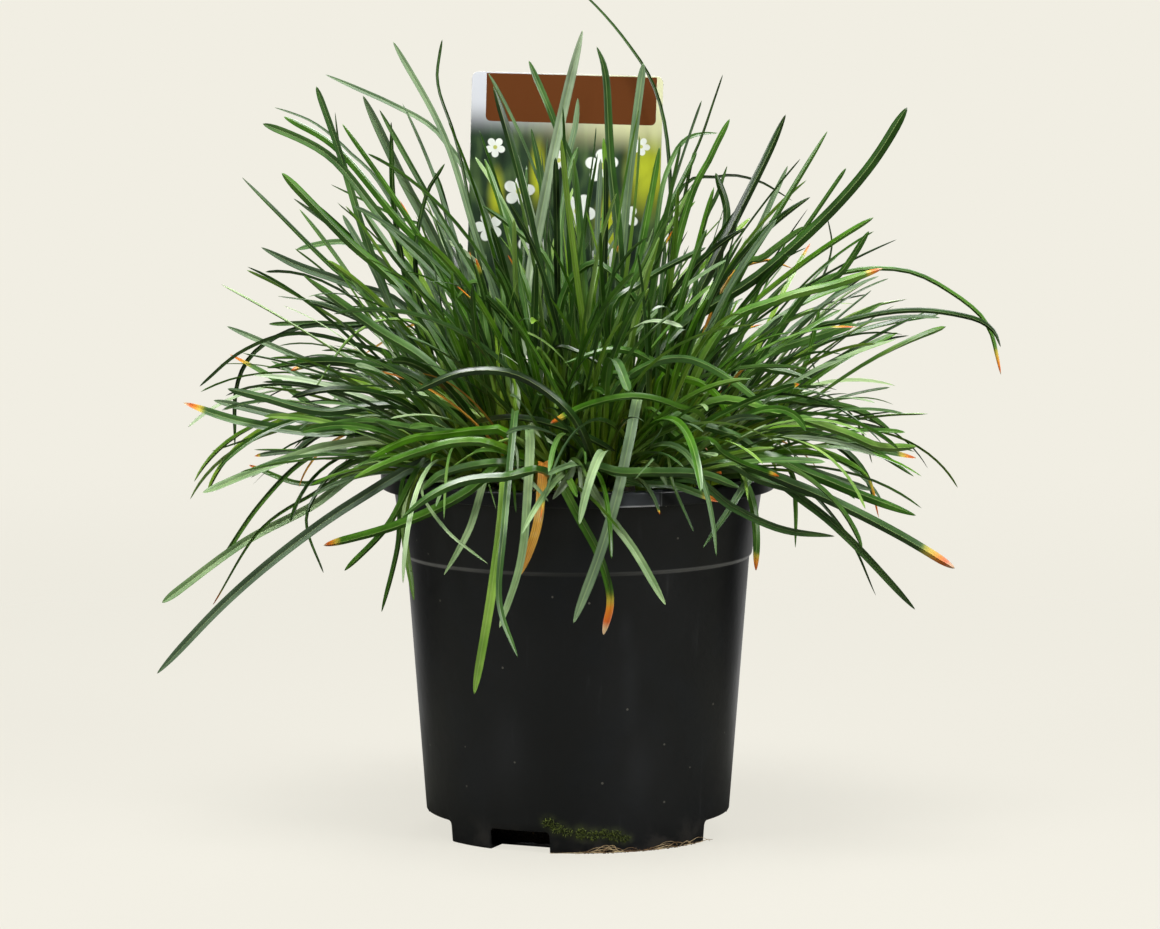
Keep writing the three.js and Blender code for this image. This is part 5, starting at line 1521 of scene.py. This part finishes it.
def green_leaf_finish():
    """Living blades: one side deep green and glossy, the other waxy and grey-blue, their tips ripening."""
    material, tree = finish("green_leaf")
    line, middle = lined(tree, 3.0, 0.05)
    drift = mottled(object_place(tree), 60.0, 0.3, 0.7)
    shade = attribute(tree, "tone") + (drift * 0.24 - 0.12)
    glossy = shades(shade, [
        (0.0, (12, 34, 0)), (0.35, (40, 82, 2)), (0.65, (72, 122, 10)), (1.0, (124, 162, 44)),
    ])
    waxy = shades(shade, [
        (0.0, (52, 76, 46)), (0.4, (86, 110, 78)), (0.7, (122, 144, 108)), (1.0, (168, 186, 152)),
    ])
    upper = between(attribute(tree, "side"), 0.02, -0.02)
    wax = attribute(tree, "bloom") * (upper * 0.75 + 0.25)
    leaf = blend(wax, glossy, waxy)
    leaf = blend(1.0, leaf, grey(line * 0.2 + 0.86), "MULTIPLY")
    leaf = blend(middle * 0.4, leaf, (150, 172, 104))
    share = attribute(tree, "share")
    rooted = 1.0 - between(share * attribute(tree, "length"), 0.012, 0.07)
    leaf = blend(rooted * attribute(tree, "fade"), leaf, (136, 156, 30))
    leaf = ripened(attribute(tree, "ripe"), leaf, share, drift)
    return surface(material, leaf, drift * 0.08 + (wax * 0.28 + 0.28), line, 0.25, 0.08)


def ripened(ripe, leaf, share, drift):
    """A blade's colour with its tip turned yellow, orange and then pale brown, as far down as it is ripe."""
    part = (share - (1.0 - ripe)) / maths("MAXIMUM", ripe, 0.001)
    ragged = part + (drift * 0.3 - 0.15)
    turned = shades(ragged, [
        (0.0, (118, 134, 44)), (0.25, (188, 164, 56)), (0.5, (210, 128, 30)), (0.8, (192, 88, 22)),
        (1.0, (190, 160, 118)),
    ])
    return blend(between(ragged, -0.1, 0.15) * between(ripe, 0.0, 0.02), leaf, turned)


def dry_leaf_finish():
    """Dead blades: straw and orange brown, dull and lined, some still green near their root."""
    material, tree = finish("dry_leaf")
    line, _ = lined(tree, 5.0, 0.06)
    drift = mottled(object_place(tree), 45.0, 0.3, 0.7)
    straw = shades(drift * 0.5 + attribute(tree, "tone") * 0.6, [
        (0.0, (122, 70, 16)), (0.35, (186, 116, 20)), (0.7, (208, 156, 48)), (1.0, (206, 186, 134)),
    ])
    dead_from = drift * 0.15 + attribute(tree, "bloom")
    greenish = between(dead_from - attribute(tree, "share"), -0.05, 0.15)
    straw = blend(greenish * 0.92, straw, (66, 84, 26))
    straw = blend(1.0, straw, grey(line * 0.3 + 0.78), "MULTIPLY")
    return surface(material, straw, 0.62, line, 0.5, 0.15)


def pot_finish():
    """Black plastic with a satin face, rubbed and dusty here and there, with earth and moss on its foot, and
    painted reflections and highlights.
    """
    material, tree = finish("pot_plastic")
    place = object_place(tree)
    across, depth, height = axes_of(place)
    cloud = mottled(place, 22.0, 0.35, 0.7)
    tall = made("ShaderNodeMapping", {"Vector": place, "Scale": (260.0, 260.0, 18.0)})
    rubbed = mottled(tall, 1.0, 0.62, 0.8) * cloud
    skin = blend(cloud, (4, 6, 10), (8, 10, 14))
    skin = blend(mottled(place, 34.0, 0.5, 0.7) * 0.5, skin, (9, 14, 21))
    skin = blend(rubbed * 0.5, skin, (58, 59, 60))
    # painted reflections: pale soft patches on the pot's front
    for x, z, wide, high in PAINTED_REFLECTIONS:
        skin = blend(spot_at(place, (x, -BODY_RADIUS, z), (wide, 60, high)) * 0.4, skin, (34, 36, 40))
    # dust along the ledge with a painted highlight, brighter towards the sides as a grazing reflection is
    ledge = between(height, 0.1188, 0.1196) * between(height, 0.1212, 0.1204)
    skin = blend(ledge * (cloud * 0.3 + (abs(across) * 9.0 + 0.1)), skin, (120, 120, 118))
    # painted highlight on the rim's front stretch, and the mould's seam
    skin = scuffed(across, height, depth < 0.0, skin)
    dust = using(SPECKS, Place=place, Scale=190.0, Size=0.1, Rarity=0.9)
    skin = blend(dust * 0.35, skin, (150, 146, 134))
    earth = (1.0 - between(height, 0.002, 0.016)) * mottled(place, 70.0, 0.45, 0.62)
    skin = blend(earth * 0.6, skin, (40, 36, 28))
    green = 0.0
    for x, z, wide, high in MOSS:
        green = maths("MAXIMUM", green, spot_at(place, on_wall(x, z), (wide * 2.2, wide * 2.2, high * 2.2)))
    green = green * mottled(place, 420.0, 0.25, 0.6)
    skin = blend(green * 0.9, skin, (60, 68, 30))
    rough = maths("MAXIMUM", earth, green) * 0.4 + (cloud * 0.1 + 0.34)
    relief = mottled(place, 260.0, 0.45, 0.75) + rubbed * 0.6
    return surface(material, skin, rubbed * 0.15 + rough, relief, 0.12, 0.2)


def scuffed(across, height, front, skin):
    """A painted highlight on a stretch of the rim, brightest along its lower edge, and the mould's seam."""
    rim = front * between(height, (RIM_UNDER - 0.6) * MM, (RIM_UNDER - 0.1) * MM)
    stretch = between(across, (RIM_HIGHLIGHT[0] - 4) * MM, (RIM_HIGHLIGHT[0] + 3) * MM) * rim
    stretch = stretch * between(across, RIM_HIGHLIGHT[1] * MM, (RIM_HIGHLIGHT[1] - 1) * MM)
    # painted highlight: a paler stretch of the lip, with a bright painted line along its lower edge
    skin = blend(stretch * 0.85, skin, (80, 84, 90))
    edge = between(height, (RIM_UNDER + 1) * MM, (RIM_UNDER + 0.4) * MM)
    skin = blend(stretch * edge, skin, (196, 197, 202))
    seam = (across > (SEAM - 0.3) * MM) * (across < (SEAM + 0.3) * MM)
    return blend(seam * rim * 0.7, skin, (96, 98, 98))


def soil_finish(name, dark, light):
    """Peaty potting soil: dark crumbs with paler fibres."""
    material, tree = finish(name)
    place = object_place(tree)
    both = mottled(place, 900.0, 0.3, 0.7) * 0.5 + mottled(place, 150.0, 0.3, 0.7) * 0.5
    fibres = using(SPECKS, Place=place, Scale=320.0, Size=0.2, Rarity=0.93)
    earth = blend(fibres * 0.6, blend(both, dark, light), (150, 122, 84))
    return surface(material, earth, 0.95, both, 0.8, 0.8)


def patched_finish(name, first, second, scale, rough):
    """A dull natural finish of two colours in patches."""
    material, tree = finish(name)
    patches = mottled(object_place(tree), scale, 0.35, 0.65)
    return surface(material, blend(patches, first, second), rough, patches, 0.3, 0.1)


def label_finish():
    """A glossy printed card: a plain brown band over a soft meadow picture with white blossoms. Its back and
    its stake are plain white plastic."""
    material, tree = finish("label_card")
    across, depth, up = axes_of(attribute(tree, "card", "Vector"))
    flat = vector_of(across, up)
    picture = meadow(flat, across, up)
    for x, down, radius, turn in BLOSSOMS:
        centre = Vector((x, -down, 0)) * MM
        petals = using(BLOSSOM, Place=flat, Centre=centre, Radius=radius * MM, Turn=turn)
        picture = blend(petals, picture, (232, 236, 228))
        picture = blend(Value(petals.socket.node.outputs["Heart"]), picture, (190, 196, 96))
    printed = blend(band_mask(across, up), picture, (94, 49, 14))
    front = (depth < -CARD_THICKNESS * 0.35 * MM) * (up > -CARD_HEIGHT * MM)
    grain = mottled(object_place(tree), 500.0)
    return surface(material, blend(front, (222, 221, 214), printed), 0.38, grain, 0.05, 0.1)


def band_mask(across, up):
    """The plain band at the card's top, its lower corners rounded."""
    middle = (BAND_LEFT - BAND_RIGHT) / 2
    half = (CARD_WIDTH - BAND_LEFT - BAND_RIGHT) / 2 - BAND_CORNER
    foot = BAND_DROP + BAND_HEIGHT - BAND_CORNER
    beside = maths("MAXIMUM", abs(across - middle * MM) - half * MM, 0.0)
    below = maths("MAXIMUM", -foot * MM - up, 0.0)
    return (length_of(vector_of(beside, below)) < BAND_CORNER * MM) * (up < -BAND_DROP * MM)


def meadow(flat, across, up):
    """A soft meadow out of focus: dark greens with upright paler streaks, yellow lights and a grey sky."""
    tall = made("ShaderNodeMapping", {"Vector": flat, "Scale": (150.0, 26.0, 1.0)})
    streaks = made("ShaderNodeTexNoise", {"Vector": tall, "Scale": 1.0, "Detail": 2.0})
    broad = made("ShaderNodeTexNoise", {"Vector": flat, "Scale": 60.0, "Detail": 1.0})
    ground = shades(streaks * 1.1 + (broad - 0.75), [
        (0.0, (20, 32, 24)), (0.3, (42, 62, 40)), (0.55, (84, 108, 62)), (0.8, (136, 156, 92)),
        (1.0, (190, 198, 150)),
    ])
    for x, down, wide, high in GLOWS:
        ground = blend(spot_at(flat, (x, -down, 0), (wide, high, 1000)) * 0.9, ground, (196, 204, 44))
    right = between(across, -0.03, 0.036)
    sky = between(up, -0.029, -0.012) * (1.0 - right * 0.45)
    ground = blend(sky * 0.95, ground, (212, 214, 220))
    return blend(right * between(up, -0.036, -0.022) * 0.7, ground, (232, 232, 176))


# Looks of the blades

def settle_look(blade, tuft, index):
    """Settle how a blade looks: as its row says, or by a draw of its own."""
    draw = draws(LOOK_SEED + tuft.number * 100 + index)
    if blade.look:
        tone, bloom, ripe = LOOKS[blade.look]
    else:
        tone = mix(0.04, 1.0, draw())
        bloom = mix(*(WAXY if draw() < WAXY_SHARE else GLOSSY), draw())
        ripe = 0.0 if draw() < UNRIPE else mix(0.03, 0.12, draw() ** 2)
    fade = 0.9 * draw() ** 2.5
    blade.slim_down(draw)
    blade.finish = {"tone": clamp(tone + (draw() - 0.5) * 0.14), "bloom": bloom, "ripe": ripe, "fade": fade}


def sheaths_of(tuft):
    """The short folded sheaths round a tuft's crown, which its blades grow out of."""
    height = CROWN_HEIGHT / 2 if tuft.dry else CROWN_HEIGHT
    sheaths = []
    for i in range(SHEATHS):
        draw = draws(SHEATH_SEED + tuft.number * SHEATHS + i)
        heading = 2 * math.pi * (i + 0.4 * draw()) / SHEATHS
        out = CROWN_RADIUS * mix(0.35, 0.6, draw())
        x = tuft.x + math.cos(heading) * out
        y = tuft.y + math.sin(heading) * out
        length = CROWN_DEPTH / 2 + height * mix(0.8, 1.5, draw())
        root = (x, y, tuft.ground - CROWN_DEPTH / 2)
        spine = grown_spine(root, heading, math.radians(mix(0, 10, draw())), math.radians(8), 0.0, length)
        sheath = Blade(spine, SHEATH_WIDTH * mix(0.8, 1.1, draw()), [0.0, 0.0])
        sheath.finish = {"tone": mix(0.6, 1, draw()), "bloom": 0.0, "ripe": 0.0, "fade": 0.5}
        sheaths.append(sheath)
    return sheaths


# Floor, light and camera

def mixed(factor, first, second):
    """Two shaders mixed by a mask."""
    return made("ShaderNodeMixShader", {0: factor, 1: first, 2: second})


def floor():
    """A plain pale floor that fades into the backdrop's own colour away from the pot. Behind the pot it is
    clear to reflections, which see the bright backdrop there."""
    half = FLOOR_SIZE / 2 * MM
    corners = [(-half, -half, 0), (half, -half, 0), (half, half, 0), (-half, half, 0)]
    thing = placed("floor", mesh_of("floor", corners, [(0, 1, 2, 3)]))
    material, tree = finish("floor")
    tree.nodes.clear()
    place = object_place(tree)
    seen_by_eye = add(tree, "ShaderNodeLightPath", {}, "Is Camera Ray")
    behind = between(axes_of(place)[1], *(edge * MM for edge in FLOOR_OPEN)) * (1.0 - seen_by_eye)
    faded = maths("MAXIMUM", between(length_of(place), FLOOR_SOLID * MM, FLOOR_FADED * MM), behind)
    matt = made("ShaderNodeBsdfDiffuse", {"Color": blend(seen_by_eye, FLOOR_AS_LIGHT, PAPER)})
    lit = add(tree, "ShaderNodeEmission", {"Color": colour(*PAPER), "Strength": FLOOR_GLOW})
    clear = add(tree, "ShaderNodeBsdfTransparent", {})
    result = mixed(1.0 - faded, clear, mixed(seen_by_eye * FLOOR_GLOW_SHARE, matt, lit))
    feed(tree.nodes.new("ShaderNodeOutputMaterial"), {"Surface": result})
    thing.data.materials.append(material)


def backdrop():
    """A plain pale backdrop for the eye, and softer light from all round for the plant."""
    world = bpy.data.worlds.new("studio")
    bpy.context.scene.world = world
    world.use_nodes = True
    tree = world.node_tree
    tree.nodes.clear()
    ray = add(tree, "ShaderNodeLightPath", {}).socket.node
    _, back, up = axes_of(add(tree, "ShaderNodeTexCoord", {}, "Generated"))
    mirrored = Value(ray.outputs["Is Glossy Ray"]) * 0.7 + 0.1
    level = between(back, 0.7, 0.97) * mirrored + (between(up, -0.1, 0.9) * 0.04 + 0.01)
    around = made("ShaderNodeBackground", {"Color": colour(244, 244, 242), "Strength": level})
    plain = add(tree, "ShaderNodeBackground", {"Color": colour(*PAPER), "Strength": 1.0})
    result = mixed(Value(ray.outputs["Is Camera Ray"]), around, plain)
    feed(tree.nodes.new("ShaderNodeOutputWorld"), {"Surface": result})


def aimed(thing, place, aim):
    thing.location = Vector(place) * MM
    thing.rotation_euler = (Vector(aim) - Vector(place)).to_track_quat("-Z", "Y").to_euler()


def panel(name, place, size, power):
    """A soft light panel that faces the plant."""
    light = bpy.data.lights.new(name, "AREA")
    light.shape = "RECTANGLE"
    light.size, light.size_y = (s * MM for s in size)
    light.energy = power
    aimed(placed(name, light), place, (0, 0, 180))


def camera():
    lens = bpy.data.cameras.new("camera")
    lens.lens = LENS
    lens.sensor_width = SENSOR
    lens.clip_end = 200
    bpy.context.scene.camera = placed("camera", lens)
    aimed(bpy.context.scene.camera, EYE, LOOKS_AT)


# The whole plant

def painted(mesh, material):
    mesh.materials.clear()
    mesh.materials.append(material)
    return mesh


def scattered(name, tree, ground, density, sizes, tilt, material):
    """A piece of small bodies scattered over a mesh."""
    mesh = shaped(ground, tree, material, Density=density, Smallest=sizes[0], Largest=sizes[1], Tilt=tilt)
    piece(name, mesh)


def grass(tufts, name, node, material):
    """A piece for each tuft, its blades and sheaths together."""
    tree = shape_tree("grass_blades", {"Points": SECTION_POINTS, "Thickness": SECTION_THICKNESS}, blade_shape)
    for number, tuft in enumerate(tufts, 1):
        for index, blade in enumerate(tuft.blades):
            settle_look(blade, tuft, index)
        lines = blade_lines(tuft.blades + sheaths_of(tuft))
        piece(name.format(number), shaped(lines, tree, material), [node.format(number)])


bpy.context.scene.view_settings.view_transform = "Standard"
camera()
backdrop()
floor()
panel("upper_panel", (-100, -500, 1800), (800, 600), 48)
panel("left_panel", (-1300, -900, 900), (400, 600), 13)
panel("right_panel", (1200, -1000, 900), (400, 600), 18)
panel("back_panel", (500, 1700, 1100), (900, 700), 20)

piece("nursery_pot", painted(pot_mesh(), pot_finish()), ["pot"])
piece("root_ball", painted(soil_mesh(), soil_finish("soil", (16, 12, 9), (52, 40, 29))), ["soil"])
piece("label", painted(label_mesh(), label_finish()), ["plant_label"])

leaflets = scatter_tree("moss", MOSS_SEED, "GeometryNodeMeshCone", **{
    "Vertices": 4, "Radius Bottom": 0.32 * MM, "Depth": 1.7 * MM,
})
moss = patched_finish("moss", (52, 62, 18), (92, 104, 34), 700.0, 0.9)
scattered("moss_cushions", leaflets, moss_ground(), MOSS_DENSITY, MOSS_LEAFLET, 0.8, moss)
grains = scatter_tree("crumbs", CRUMB_SEED, "GeometryNodeMeshIcoSphere", Radius=0.5 * MM, Subdivisions=1)
crumb = soil_finish("crumbs", (30, 22, 15), (84, 62, 42))
scattered("foot_earth", grains, foot_ground(), FOOT_CRUMB_DENSITY, FOOT_CRUMBS, 3.0, crumb)
scattered("soil_crumbs", grains, top_ground(), TOP_CRUMB_DENSITY, TOP_CRUMBS, 3.0, crumb)
threads = shape_tree("root_fibres", {"Sides": 5}, thread_shape)
fibre = patched_finish("root_fibre", (128, 98, 62), (206, 182, 138), 160.0, 0.7)
piece("foot_roots", shaped(root_lines(), threads, fibre))

green, dry = plant_all()
grass(green, "grass_tuft_{:02d}", "tuft_{:02d}", green_leaf_finish())
grass(dry, "straw_tuft_{}", "dry_tuft_{}", dry_leaf_finish())
